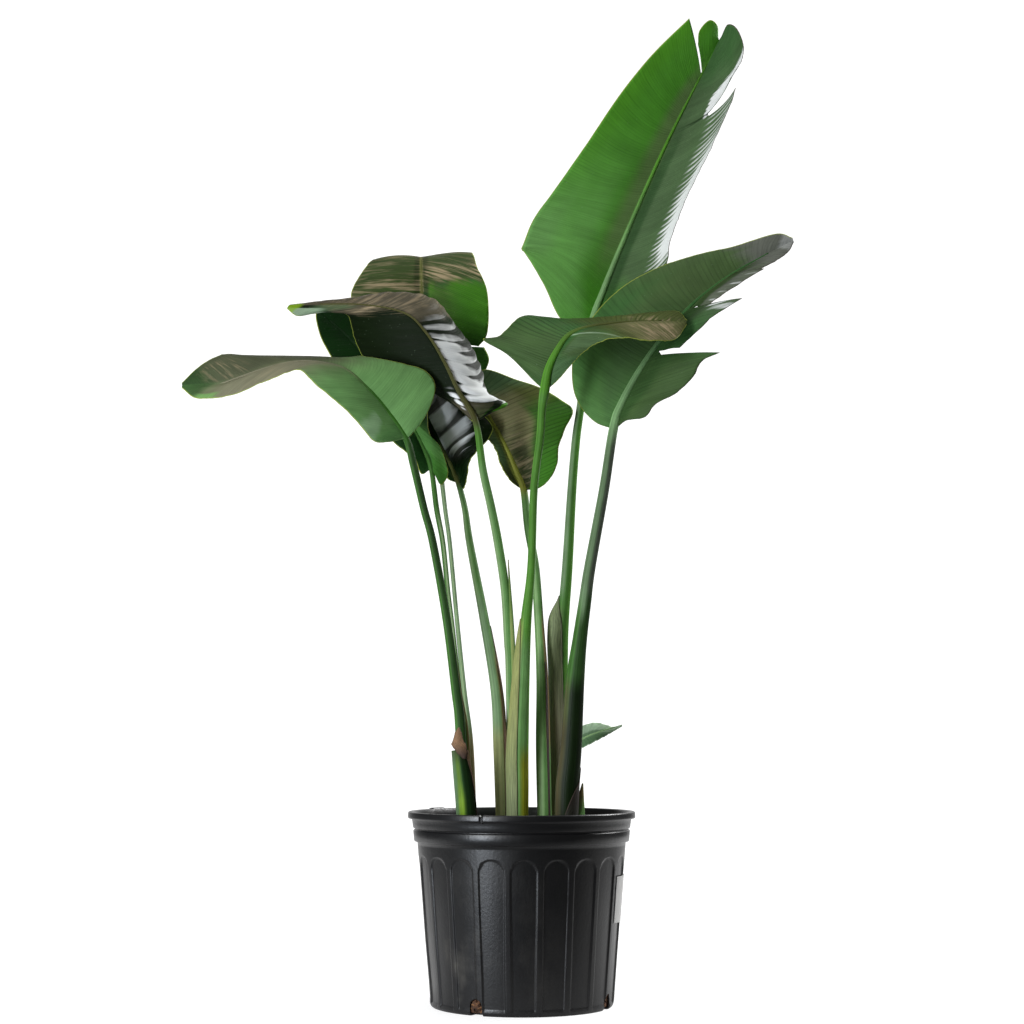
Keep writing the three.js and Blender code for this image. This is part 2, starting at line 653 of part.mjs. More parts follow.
// Soil fills the pot. Its top is lumpy, and every stem stands in a hole of its own.
function addSoil() {
  const rings = SOIL_RINGS;
  const spokes = SOIL_SPOKES;
  const outer = wallRadius(SOIL_TOP) - WALL - SOIL_GAP_TOP;
  const positions = [0, 0, SOIL_TOP];
  for (let r = 1; r <= rings; r += 1) {
    for (let s = 0; s < spokes; s += 1) {
      const angle = (s / spokes) * 2 * Math.PI;
      const x = Math.cos(angle) * outer * (r / rings);
      const y = Math.sin(angle) * outer * (r / rings);
      positions.push(x, y, SOIL_TOP + soilLump(x, y));
    }
  }
  const foot = positions.length / 3;
  const footRadius = wallRadius(FLOOR) - WALL - SOIL_GAP_FOOT;
  for (let s = 0; s < spokes; s += 1) {
    const angle = (s / spokes) * 2 * Math.PI;
    positions.push(Math.cos(angle) * footRadius, Math.sin(angle) * footRadius, FLOOR + CLEARANCE);
  }
  const centre = positions.length / 3;
  positions.push(0, 0, FLOOR + CLEARANCE);
  const triangles = [];
  for (let s = 0; s < spokes; s += 1) {
    const next = (s + 1) % spokes;
    triangles.push(0, 1 + s, 1 + next);
    for (let r = 0; r + 1 < rings; r += 1) {
      const a = 1 + r * spokes;
      triangles.push(a + s, a + spokes + s, a + spokes + next, a + s, a + spokes + next, a + next);
    }
    const edge = 1 + (rings - 1) * spokes;
    triangles.push(edge + s, foot + s, foot + next, edge + s, foot + next, edge + next);
    triangles.push(centre, foot + next, foot + s);
  }
  let soil = toSolid(closedGeometry(positions, triangles));
  for (const hole of soilHoles) {
    soil = soil.subtract(hole);
  }
  addMesh('soil', toGeometry(biggest(soil)), COLOR.soil, 1);
}

// A blank sticker that wraps round the right side of the pot
function addLabel() {
  const grid = [LABEL.bottom, LABEL.top].map((z) => {
    const row = [];
    for (let i = 0; i <= LABEL.steps; i += 1) {
      const degrees = LABEL.from + (i / LABEL.steps) * (LABEL.to - LABEL.from);
      const radius = wallRadius(z) + CLEARANCE + LABEL.thickness / 2;
      row.push(outward(degrees).multiplyScalar(radius).setZ(z));
    }
    return row;
  });
  addMesh('pot_label', thickSheet(grid, LABEL.thickness / 2, () => false), COLOR.label, 0.6);
}

addPot();
addSoil();
addLabel();

export default plant;
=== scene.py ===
"""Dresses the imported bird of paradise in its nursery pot, and sets the studio round it.

All positions and sizes in the tables are in millimetres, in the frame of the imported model:
+Z up, the origin at the centre of the pot's underside, the front of the plant facing -Y.
"""

import math

import bpy
import numpy as np
from bpy.props import FloatProperty, FloatVectorProperty, IntProperty, PointerProperty
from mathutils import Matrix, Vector


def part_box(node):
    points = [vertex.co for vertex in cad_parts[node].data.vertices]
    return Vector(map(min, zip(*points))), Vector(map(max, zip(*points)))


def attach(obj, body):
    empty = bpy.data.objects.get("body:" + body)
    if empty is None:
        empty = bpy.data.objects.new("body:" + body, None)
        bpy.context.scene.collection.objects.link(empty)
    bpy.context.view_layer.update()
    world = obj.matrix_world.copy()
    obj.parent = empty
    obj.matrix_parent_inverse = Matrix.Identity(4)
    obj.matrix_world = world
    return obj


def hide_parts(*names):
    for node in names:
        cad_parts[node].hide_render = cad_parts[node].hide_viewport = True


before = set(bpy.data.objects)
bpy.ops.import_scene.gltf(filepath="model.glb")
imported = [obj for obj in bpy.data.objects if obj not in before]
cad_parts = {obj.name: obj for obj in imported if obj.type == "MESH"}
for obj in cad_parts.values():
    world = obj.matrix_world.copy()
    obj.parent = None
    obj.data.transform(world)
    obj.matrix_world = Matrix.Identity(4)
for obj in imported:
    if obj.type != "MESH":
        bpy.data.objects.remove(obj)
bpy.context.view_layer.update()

bl_info = {
    "name": "Potted bird of paradise",
    "version": (1, 0, 0),
    "blender": (4, 5, 0),
    "location": "3D View > Sidebar > Plant",
    "description": "Builds the leaves, stalks, pot and studio of a potted bird of paradise",
    "category": "Add Mesh",
}

MM = 0.001
BODY = "root"
ROOT_HEIGHT = 235  # where the stalks end inside the soil
POT_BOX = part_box("pot")


def whole(points):
    """A half of a blade that no tear parts."""
    return [{"from": 0, "to": 1, "points": points}]


# The leaves. Each stalk runs from the soil up to the blade as [x, y, z, half width].
# A blade has a midrib and two halves, each a list of lobes that are parted by tears.
# A lobe covers the midrib from one share of its length to another, and its points are
# the leaf's margin. tear is the share of the half's width that stays whole at its end.
# bow and wave are shares of a half's width. under is -1 where the midrib stands on the back
# side. rib_girth is the half width of the midrib's foot, and rib_taper is how fast it thins.
# corners are shares of the blade's length where the margin turns sharply.
LEAVES = [
    {
        "name": "leaf_tall", "bow": (0.05, -0.14),
        "corners": [0.309, 0.931],
        "stalk": [
            [56, 34, ROOT_HEIGHT, 12], [60, 34, 393, 13], [63, 38, 536, 11.5], [67, 42, 600, 9.5],
            [74, 48, 685, 8.6], [82, 54, 811, 7.4], [89, 57, 893, 7], [96, 58, 943, 6.6],
            [106, 60, 1018, 6.2]],
        "rib": [
            [116, 60, 1088], [138, 68, 1150], [174, 80, 1240], [216, 88, 1338], [261, 92, 1435],
            [298, 92, 1507], [332, 90, 1575]],
        "left": [
            {"from": 0, "to": 0.85, "tear": 0.09, "points": [
                [112, 58, 1084], [67, 48, 1088], [36, 38, 1146], [7, 31, 1194], [1, 30, 1203], [4, 31, 1212],
                [20, 35, 1254], [53, 42, 1304], [104, 52, 1380], [161, 58, 1467], [218, 64, 1541],
                [281, 70, 1606]]},
            {"from": 0.862, "to": 1, "points": [
                [296, 80, 1565], [298, 78, 1587], [315, 80, 1606], [329, 86, 1599], [331, 90, 1579]]},
        ],
        "right": [
            {"from": 0, "to": 0.63, "tear": 0.5, "points": [
                [120, 57, 1084], [179, 20, 1084], [216, 5, 1127], [234, 0, 1175], [240, 5, 1212],
                [257, 8, 1254], [285, 10, 1314], [314, 12, 1373], [337, 14, 1431],
                [350, 18, 1471]]},
            {"from": 0.645, "to": 1, "points": [
                [346, 50, 1498], [364, 45, 1526], [369, 45, 1551], [359, 60, 1585], [345, 75, 1596],
                [335, 90, 1579]]},
        ],
    },
    {
        "name": "leaf_right", "bow": (0.09, 0.07), "rib_taper": 1.3,
        "stalk": [
            [68, -8, ROOT_HEIGHT, 17], [71, -10, 330, 18], [77, -14, 393, 17], [84, -24, 502, 14.5],
            [91, -30, 564, 11.5], [99, -36, 622, 10], [107, -42, 678, 9], [129, -54, 798, 8]],
        "rib": [
            [145, -62, 895], [157, -66, 931], [185, -75, 983], [218, -85, 1030], [260, -95, 1078],
            [312, -105, 1120], [368, -112, 1153], [422, -120, 1181]],
        "left": whole([
            [142, -62, 894], [115, -55, 906], [91, -48, 935], [80, -42, 975], [85, -40, 1030],
            [112, -45, 1074], [159, -55, 1120], [225, -70, 1153], [280, -85, 1168],
            [332, -98, 1177], [396, -112, 1193], [421, -120, 1185]]),
        "right": [
            {"from": 0, "to": 0.39, "tear": 0.25, "points": [
                [149, -64, 895], [166, -80, 905], [191, -100, 906], [207, -112, 925], [236, -122, 940],
                [263, -132, 965], [277, -138, 987], [304, -145, 999]]},
            {"from": 0.42, "to": 0.57, "tear": 0.25, "points": [
                [245, -115, 1012], [270, -128, 1033], [297, -138, 1059], [338, -150, 1083]]},
            {"from": 0.595, "to": 0.745, "tear": 0.25, "points": [
                [277, -112, 1069], [302, -125, 1089], [334, -135, 1108], [373, -145, 1130]]},
            {"from": 0.77, "to": 1, "points": [
                [346, -122, 1124], [389, -128, 1143], [413, -126, 1161], [423, -120, 1178]]},
        ],
    },
    {
        "name": "leaf_front", "bow": (0.06, 0.05),
        "rib_girth": 7.6, "rib_taper": 1.3, "corners": [0.3],
        "stalk": [
            [-4, -18, ROOT_HEIGHT, 14], [-4, -20, 330, 15], [-4, -22, 393, 15], [1, -34, 502, 11.5],
            [7, -50, 595, 8.5], [15, -66, 676, 6.4], [19, -92, 794, 6], [28, -112, 869, 6],
            [31, -124, 915, 6]],
        "rib": [
            [36, -130, 942], [43, -138, 978], [59, -146, 1008], [83, -150, 1032], [129, -148, 1042],
            [189, -142, 1049], [253, -136, 1049]],
        "left": whole([
            [34, -130, 944], [19, -124, 959], [-21, -112, 1002], [-60, -100, 1028], [-34, -92, 1037],
            [1, -85, 1067], [60, -88, 1062], [123, -90, 1066], [185, -96, 1071], [238, -110, 1071],
            [255, -134, 1052]]),
        "right": whole([
            [39, -132, 944], [56, -140, 958], [80, -152, 984], [97, -165, 998], [120, -180, 1009],
            [151, -188, 1015], [197, -184, 1010], [233, -166, 1015], [254, -138, 1044]]),
    },
    {
        "name": "leaf_middle", "bow": (0.06, 0.1),
        "stalk": [
            [37, 2, ROOT_HEIGHT, 11], [34, 8, 393, 11.5], [33, 16, 503, 9.5], [28, 28, 599, 7.5],
            [22, 42, 685, 7], [11, 52, 749, 6.4]],
        "rib": [
            [4, 62, 812], [-10, 64, 848], [-30, 68, 893], [-49, 72, 928], [-67, 74, 966], [-81, 76, 1000]],
        "left": whole([
            [1, 62, 813], [-18, 56, 826], [-33, 52, 850], [-43, 52, 879], [-66, 58, 908],
            [-88, 66, 945], [-97, 73, 980], [-87, 77, 1002]]),
        "right": whole([
            [8, 62, 812], [29, 54, 814], [46, 48, 828], [58, 44, 852], [61, 40, 879], [72, 40, 909],
            [84, 44, 939], [65, 56, 959], [31, 62, 980], [-10, 68, 995], [-54, 74, 1012],
            [-76, 77, 1005]]),
    },
    {
        "name": "leaf_arched", "bow": (0.08, 0.14),
        "rib_girth": 4.8, "rib_taper": 2, "corners": [0.182],
        "stalk": [
            [-15, 34, ROOT_HEIGHT, 7], [-18, 26, 503, 7], [-21, 20, 567, 7], [-26, 12, 646, 7],
            [-37, 2, 720, 7], [-48, -8, 776, 6.6], [-61, -20, 834, 6.2]],
        "rib": [
            [-73, -40, 909], [-94, -48, 946], [-114, -56, 987], [-136, -60, 1026], [-159, -58, 1057],
            [-192, -48, 1084], [-250, -24, 1099], [-311, 0, 1106], [-378, 20, 1105]],
        "left": whole([
            [-77, -40, 908], [-101, -28, 932], [-137, -14, 957], [-196, -2, 978], [-246, 6, 1008],
            [-268, 10, 1052], [-278, 12, 1089], [-308, 14, 1095], [-338, 16, 1093], [-362, 18, 1090],
            [-379, 20, 1102]]),
        "right": whole([
            [-69, -38, 910], [-47, -25, 925], [-21, -15, 941], [-52, 5, 960], [-65, 15, 1001],
            [-82, 20, 1038], [-113, 24, 1085], [-139, 20, 1118], [-199, 10, 1126], [-273, 10, 1116],
            [-332, 14, 1112], [-374, 20, 1109]]),
    },
    {
        "name": "leaf_back", "under": -1, "bow": (0.06, 0.06),
        "stalk": [
            [-77, 28, ROOT_HEIGHT, 7.5], [-82, 34, 393, 6.5], [-92, 42, 488, 4.5], [-104, 56, 605, 3.6],
            [-116, 70, 726, 3.6], [-124, 78, 783, 3.6], [-133, 88, 860, 4]],
        "rib": [
            [-140, 100, 933], [-151, 106, 1000], [-160, 112, 1069], [-165, 118, 1138], [-167, 126, 1187],
            [-169, 150, 1217], [-171, 200, 1221], [-171, 245, 1191], [-170, 265, 1134]],
        "left": whole([
            [-144, 100, 934], [-186, 100, 957], [-233, 104, 1015], [-263, 106, 1073], [-282, 108, 1133],
            [-278, 114, 1162], [-256, 126, 1199], [-248, 150, 1213], [-244, 200, 1204],
            [-226, 245, 1165], [-174, 266, 1132]]),
        "right": [
            {"from": 0, "to": 0.29, "tear": 0.5, "points": [
                [-137, 100, 934], [-97, 92, 945], [-71, 88, 977], [-61, 86, 1007], [-53, 88, 1032],
                [-61, 92, 1053]]},
            {"from": 0.31, "to": 1, "points": [
                [-70, 96, 1055], [-56, 92, 1073], [-53, 92, 1107], [-57, 96, 1153], [-72, 112, 1193],
                [-83, 150, 1226], [-92, 200, 1213], [-114, 245, 1172], [-166, 266, 1132]]},
        ],
    },
    {
        "name": "leaf_low", "bow": (0.08, 0.08),
        "stalk": [
            [-82, 8, ROOT_HEIGHT, 8], [-89, 9, 409, 7], [-99, 9, 487, 4.6], [-110, 8, 590, 3.8],
            [-117, 6, 645, 4], [-125, 5, 720, 4.2], [-135, 4, 774, 4.4]],
        "rib": [
            [-144, 2, 838], [-163, 14, 887], [-200, 38, 953], [-247, 58, 1020], [-294, 76, 1076],
            [-337, 90, 1113]],
        "left": whole([
            [-147, 2, 837], [-160, -4, 830], [-171, -2, 856], [-184, 4, 866], [-209, 12, 887],
            [-274, 36, 951], [-308, 56, 1025], [-328, 72, 1063], [-338, 84, 1096],
            [-339, 90, 1113]]),
        "right": whole([
            [-140, 2, 834], [-128, -4, 812], [-117, -5, 829], [-121, -3, 851], [-130, 2, 875],
            [-148, 10, 902], [-156, 34, 955], [-195, 58, 1030], [-246, 76, 1085], [-294, 88, 1119],
            [-334, 91, 1118]]),
    },
    {
        "name": "leaf_far_left", "under": -1, "bow": (0.07, 0.07),
        "stalk": [
            [-88, -14, ROOT_HEIGHT, 9], [-96, -16, 424, 8], [-103, -20, 487, 7.4], [-118, -30, 600, 6.6],
            [-139, -42, 716, 6.2], [-153, -48, 769, 6], [-169, -56, 836, 6]],
        "rib": [
            [-181, -60, 879], [-200, -64, 907], [-222, -70, 936], [-250, -76, 964], [-279, -78, 987],
            [-324, -74, 998], [-365, -66, 999], [-412, -52, 989], [-472, -34, 971], [-540, -20, 970]],
        "left": whole([
            [-186, -60, 878], [-208, -74, 871], [-231, -86, 871], [-255, -98, 899], [-283, -108, 927],
            [-313, -112, 951], [-344, -106, 978], [-368, -98, 974], [-405, -84, 963], [-451, -64, 949],
            [-485, -48, 945], [-517, -34, 947], [-540, -22, 965]]),
        "right": whole([
            [-175, -60, 882], [-154, -62, 908], [-138, -62, 943], [-137, -58, 970], [-155, -56, 989],
            [-189, -52, 999], [-244, -44, 1011], [-289, -34, 1012], [-334, -24, 1016], [-413, -8, 1020],
            [-468, -2, 1023], [-490, -2, 1018], [-518, -8, 1000], [-541, -18, 974]]),
    },
    {
        "name": "leaf_inner", "bow": (0.06, 0.1),
        "stalk": [
            [-29, 18, ROOT_HEIGHT, 10], [-34, 20, 393, 10.5], [-40, 26, 488, 9.2], [-60, 32, 604, 7.5],
            [-83, 42, 724, 6], [-91, 46, 779, 5]],
        "rib": [
            [-102, 50, 822], [-112, 52, 847], [-124, 55, 871], [-137, 59, 898], [-152, 64, 929],
            [-169, 70, 963], [-186, 76, 995]],
        "left": whole([
            [-106, 50, 823], [-120, 46, 829], [-133, 44, 855], [-151, 46, 882], [-174, 52, 915],
            [-193, 60, 953], [-191, 72, 988]]),
        "right": whole([
            [-99, 50, 819], [-93, 46, 812], [-88, 42, 826], [-84, 38, 852], [-73, 34, 869],
            [-57, 32, 885], [-46, 36, 911], [-67, 44, 937], [-96, 54, 962], [-136, 66, 987],
            [-181, 75, 996]]),
    },
    {
        "name": "leaf_small", "bow": (0.08, 0.08), "wave": 0.01,
        "stalk": [
            [83, 46, ROOT_HEIGHT, 3], [84, 47, 300, 3], [84, 49, 350, 2.6], [85, 51, 385, 2.2]],
        "rib": [[88, 52, 403], [104, 56, 413], [126, 61, 421], [162, 70, 432]],
        "left": whole([
            [87, 53, 405], [92, 58, 427], [119, 66, 436], [149, 71, 429], [162, 70, 433]]),
        "right": whole([
            [89, 51, 401], [94, 46, 395], [122, 52, 408], [148, 62, 422], [162, 69, 430]]),
    },
]
# How each blade looks. rib_face and plain_face are the colours of the side with the midrib
# and of the other side, and gloss is their roughness. lean is how far the veins of the left
# and right half run towards the tip, as shares of the blade's length, and sag bends them in
# the right half. folds are the pitch of the cross folds and their height in each half, and
# cell is the pitch of the painted white highlights between them, negative where it fades the
# other way. veins are the strength and the scale of the side veins. rib is the midrib's colour
# near its foot and further out, and the share of its length where it changes. hem is the colour
# of the left and the right margin where they aren't plain. A zone is a patch: (half, across
# from, across to, along from, along to, colour, strength), in shares, where a pair for along
# gives a slanted border. One more value is the width over which its borders fade, and two more
# are that width for the borders across and along. The streak zones stand for dry streaks, and
# the shine zones for painted white highlights; other painted light is marked where it stands.
BLADE_LOOKS = {
    "leaf_tall": {
        "rib_face": "leaf_bright", "plain_face": "leaf_mid", "gloss": (0.5, 0.45),
        "lean": (0.14, 0.01), "folds": (8.4, 0.15, 0.8), "cell": 8.4, "veins": (0.55, 0.55),
        "rib": ("rib_soft", "stalk_bright", 0.42), "hem": ("margin", "hem_dark"),
        "zones": [
            ("right", 0, 1, 0, 1, "grey_green", 1),
            # Painted sheen: lighter green over the lower outer part of the left half
            ("left", 0.3, 1, 0.05, 0.55, "leaf_light", 0.8, 0.3),
            ("left", 0.75, 1, 0.6, 1, "leaf_vivid", 0.4, 0.3),
            # Painted shade: the greyish band beside the midrib in the left half
            ("left", 0, 0.2, 0.3, 0.85, "grey_warm", 0.7, 0.2),
            # Painted sheen: the light patch near the left corner
            ("left", 0.72, 1, 0.3, 0.5, "leaf_fresh", 0.6, 0.2),
            ("right", 0, 0.3, 0, 0.2, "leaf_bright", 0.8, 0.15),
            # Painted shade: the dark band beside the midrib in the right half
            ("right", 0.02, 0.16, 0.1, 0.62, "leaf_deep", 0.7),
            ("right", 0, 1, 0.8, 1, "leaf_mid", 0.7, 0.14),
            # The shine zones are painted white highlights on the turned half
            ("right", 0.62, 1, 0.25, 0.52, "shine", 1, 0.3),
            ("right", 0.72, 1, 0.24, 0.5, "shine", 1.7, 0.3, 0.12),
            ("right", 0.55, 1, 0.45, 0.63, "shine", 0.62, 0.3),
            ("right", 0.42, 1, (0.64, 0.65), (0.67, 0.77), "shine", 1.2, 0.04),
        ],
    },
    "leaf_right": {
        "rib_face": "leaf_mid", "plain_face": "leaf_deep", "gloss": (0.5, 0.45),
        "lean": (0.07, 0.05), "folds": (10, 0.3, 0.5), "cell": 14, "veins": (0.5, 1.2),
        "rib": ("rib_soft", "leaf_mid", 0.45), "hem": ("margin", "hem_dark"),
        "zones": [
            ("left", 0, 1, 0, 0.35, "leaf_fresh", 0.65, 0.25),
            ("left", 0.4, 1, 0.1, 0.4, "leaf_light", 0.5, 0.3),
            ("right", 0, 1, 0, 0.4, "leaf_drab", 0.6),
            ("right", 0, 0.4, 0.08, 0.35, "leaf_deep", 0.5),
            ("left", 0, 0.6, 0.3, 0.6, "leaf_drab", 0.5, 0.3),
            ("both", 0, 1, 0.55, 1, "leaf_drab", 0.7),
            ("both", 0, 1, 0.82, 1, "slate", 0.8),
            ("right", 0.1, 0.6, 0.42, 0.85, "leaf_black", 0.5),
            ("right", 0.5, 1, 0.57, 0.82, "slate", 0.6, 0.2),
            # The shine zones and the white tip are painted highlights
            ("right", 0.7, 1, (0.7, 0.6), (0.78, 0.72), "shine", 0.35, 0.2),
            ("right", 0.6, 1, 0.545, 0.565, "shine", 0.7, 0.2, 0.02),
            ("both", 0, 1, 0.94, 1, "gloss_white", 0.25),
        ],
    },
    "leaf_front": {
        "rib_face": "leaf_mid", "plain_face": "olive", "gloss": (0.5, 0.45),
        "lean": (0.05, 0.08), "folds": (11, 0.4, 0.4), "cell": 11, "veins": (1.2, 0.9),
        "rib": ("stalk_bright", "olive", 0.5),
        "zones": [
            ("left", 0, 1, 0.1, 0.5, "leaf_drab", 0.6),
            ("right", 0.1, 1, 0, 0.3, "leaf_dull", 0.8),
            ("right", 0.2, 1, 0.3, 0.55, "leaf_drab", 0.7),
            ("right", 0.3, 1, (0.3, 0.42), (0.45, 0.62), "grey_green", 0.7, 0.06),
            ("right", 0.06, 1, (0.46, 0.62), (0.475, 0.635), "leaf_pale", 0.7, 0.012),
            ("both", 0, 1, 0.6, 1, "olive", 0.9),
            ("right", 0, 1, 0.7, 0.96, "bronze", 0.8),
            ("right", 0.2, 0.95, 0.74, 0.92, "streak", 0.9),
            ("left", 0, 0.4, 0.78, 0.96, "streak", 0.7),
        ],
    },
    "leaf_middle": {
        "rib_face": "olive", "plain_face": "leaf_deep", "gloss": (0.5, 0.45),
        "lean": (0.05, 0.1), "folds": (10, 0.3, 0.3), "cell": 10, "veins": (1.2, 1.0),
        "rib": ("rib_gold", "rib_gold", 0.5),
        "zones": [
            ("left", 0.4, 1, 0, 0.42, "leaf_black", 0.75),
            ("left", 0.3, 1, 0.3, 0.6, "leaf_dull", 0.6),
            ("left", 0, 0.45, 0, 0.5, "rib_gold", 0.4),
            # Painted reflection: the bronze zone is the brown sheen
            ("right", 0, 0.6, 0.38, 0.9, "bronze", 0.9),
            ("right", 0.05, 0.45, 0.02, 0.45, "leaf_black", 0.75),
            ("right", 0.05, 0.5, 0.1, 0.6, "streak", 0.3),
            ("right", 0.5, 1, 0, 0.66, "leaf_moss", 0.95, 0.12),
            ("right", 0.62, 1, 0.05, 0.35, "leaf_bright", 0.5),
            ("both", 0, 1, 0.78, 1, "leaf_dull", 0.9),
        ],
    },
    "leaf_arched": {
        "rib_face": "leaf_black", "plain_face": "leaf_black", "gloss": (0.5, 0.36),
        "lean": (0.06, 0.05), "sag": 0.035, "folds": (19, 0.3, 2.4), "cell": 19, "veins": (0.5, 0.6),
        "rib": ("rib_dark", "rib_dark", 0.72), "hem": ("margin", "hem_dark"),
        "zones": [
            # Painted reflection: the mauve zones on the far part stand for the grey brown that the glossy
            # upper side throws back
            ("left", 0, 1, (0.7, 0.62), (0.94, 0.7), "mauve", 0.6, 0.04),
            ("left", 0, 0.9, (0.68, 0.62), (0.74, 0.66), "streak", 0.8, 0.03),
            ("left", 0, 0.9, (0.74, 0.66), (0.9, 0.7), "streak", 0.3, 0.04),
            ("left", 0, 0.8, 0.6, 0.7, "streak", 0.3, 0.04),
            ("left", 0.1, 0.8, 0.76, 0.9, "leaf_dull", 0.5, 0.06),
            # Painted highlight: pale green along the light fold near the tip
            ("left", 0.35, 1, (0.94, 0.74), 1, "leaf_pale", 0.65, 0.06),
            ("right", 0, 1, 0.54, 1, "mauve", 0.8, 0.05),
            ("right", 0, 1, 0.6, 0.85, "streak", 0.4, 0.04),
            ("both", 0, 1, 0.955, 1, "lime", 0.8),
            # The shine zones here and on the left half are painted white highlights
            ("right", 0.02, 1, 0.2, 0.42, "shine", 0.45, 0.14),
            # Painted shade: keeps the upper cross folds dark between the painted highlights
            ("right", 0, 0.55, 0.45, 0.53, "leaf_black", 0.8, 0.3, 0.05),
            ("right", 0.02, 0.4, 0.26, 0.45, "shine", 1.3, 0.3, 0.08),
            ("right", 0.1, 1, 0.19, 0.29, "shine", 1.3, 0.2, 0.08),
            ("right", 0.02, 1, 0.42, 0.54, "shine", 0.2, 0.08),
            ("right", 0, 0.7, 0.03, 0.13, "leaf_moss", 0.8, 0.08),
            ("right", 0.86, 1, 0.1, 0.2, "leaf_vivid", 0.9, 0.03),
            ("both", 0, 0.6, 0, 0.17, "mauve", 0.6, 0.06),
            ("left", 0.12, 0.3, 0.14, 0.22, "shine", 0.85, 0.16, 0.08),
        ],
    },
    "leaf_back": {
        "rib_face": "leaf_deep", "plain_face": "leaf_mid", "gloss": (0.5, 0.45),
        "lean": (0.03, 0.03), "folds": (9, 0.3, 0.3), "cell": 9, "veins": (1.2, 0.55),
        "rib": ("rib_olive", "rib_olive", 0.5),
        "zones": [
            ("left", 0, 1, 0.36, 0.8, "leaf_brown", 0.85, 0.06),
            ("left", 0, 1, 0.42, 0.5, "streak", 0.8, 0.04),
            ("left", 0, 1, 0.5, 0.75, "streak", 0.35),
            ("right", 0, 1, (0.46, 0.6), 0.8, "leaf_brown", 0.85, 0.03),
            ("right", 0.06, 1, (0.48, 0.6), (0.55, 0.68), "streak", 0.9, 0.03),
            ("right", 0, 1, (0.46, 0.6), 0.75, "streak", 0.3),
            ("right", 0.1, 1, 0.2, (0.46, 0.6), "leaf_vivid", 0.7, 0.04),
            ("right", 0.1, 0.5, 0.3, (0.46, 0.55), "leaf_brown", 0.6, 0.4, 0.1),
            ("right", 0.7, 1, 0.2, 0.4, "leaf_deep", 0.6, 0.4, 0.2),
            ("both", 0, 0.1, 0.3, 0.9, "leaf_black", 0.5, 0.02),
            ("both", 0, 0.04, 0.3, 0.9, "rib_edge", 0.95, 0.01),
            ("both", 0, 0.016, 0.3, 0.9, "rib_olive", 0.9, 0.008),
        ],
    },
    "leaf_low": {
        "rib_face": "leaf_mid", "plain_face": "leaf_night", "gloss": (0.6, 0.6),
        "lean": (0.05, 0.05), "folds": (11, 0.3, 0.3), "cell": 11, "veins": (0.6, 0.8),
        "rib": ("stalk_mid", "leaf_night", 0.4),
        "zones": [
            ("both", 0, 1, 0.5, 1, "leaf_night", 1),
            ("left", 0.15, 1, 0.05, 0.5, "leaf_night", 0.75),
            ("right", 0, 1, 0.22, 0.5, "leaf_light", 0.7),
            ("right", 0.3, 1, 0.05, 0.25, "leaf_bright", 0.5),
        ],
    },
    "leaf_far_left": {
        "rib_face": "leaf_deep", "plain_face": "leaf_fresh", "gloss": (0.55, 0.55),
        "lean": (0.08, 0.08), "folds": (12, 0.2, 0.2), "cell": 12, "veins": (0.35, 0.8),
        "rib": ("leaf_moss", "rib_grey", 0.5),
        "zones": [
            # Painted reflection: the grey brown far part and its grey midrib stand for the reflection on the
            # glossy upper side
            ("both", 0, 1, 0.49, 0.95, "mauve", 0.8),
            ("right", 0.05, 1, 0.52, 1, "leaf_umber", 0.75),
            ("left", 0, 1, 0.52, 0.88, "rib_grey", 0.75),
            ("both", 0, 1, 0.92, 1, "leaf_deep", 0.7),
            ("left", 0, 1, 0.5, 0.75, "streak", 0.15),
            ("right", 0.1, 0.8, 0.8, 0.92, "streak", 0.3),
            ("both", 0, 0.035, 0, 0.5, "leaf_moss", 0.9, 0.02),
            # Painted sheen: light green patch near the lower margin
            ("left", 0.4, 1, (0.24, 0.16), (0.26, 0.24), "leaf_pale", 0.35, 0.03),
            ("left", 0, 0.85, 0.05, 0.17, "leaf_mid", 0.5),
            ("left", 0.75, 1, 0.84, 0.92, "leaf_light", 0.6),
        ],
    },
    "leaf_inner": {
        "rib_face": "leaf_black", "plain_face": "leaf_black", "gloss": (0.35, 0.35),
        "lean": (0.1, 0.55), "folds": (24, 0.8, 1.8), "cell": -34, "veins": (0.4, 0.7),
        "rib": ("rib_olive", "leaf_night", 0.4),
        "zones": [
            ("both", 0, 1, 0, 0.3, "leaf_deep", 0.6),
            ("both", 0, 0.5, 0, 0.2, "olive", 0.5),
            # Painted sheen: the slate zone is the grey sheen, and the shine zone below is a painted white
            # highlight
            ("right", 0, 0.6, 0.36, 0.9, "slate", 0.7, 0.2),
            ("right", 0.02, 0.7, 0.42, 0.8, "shine", 0.58, 0.3, 0.2),
        ],
    },
    "leaf_small": {
        "rib_face": "leaf_pale", "plain_face": "leaf_pale", "gloss": (0.5, 0.5),
        "lean": (0.05, 0.05), "folds": (10, 0.3, 0.3), "cell": 10, "veins": (0.5, 0.8),
        "rib": ("rib_pale", "rib_pale", 0.5), "hem": ("leaf_pale", "leaf_pale"),
        "zones": [("right", 0.1, 1, 0, 0.7, "leaf_mid", 0.8), ("left", 0, 0.35, 0, 0.7, "leaf_mid", 0.6)],
    },
}
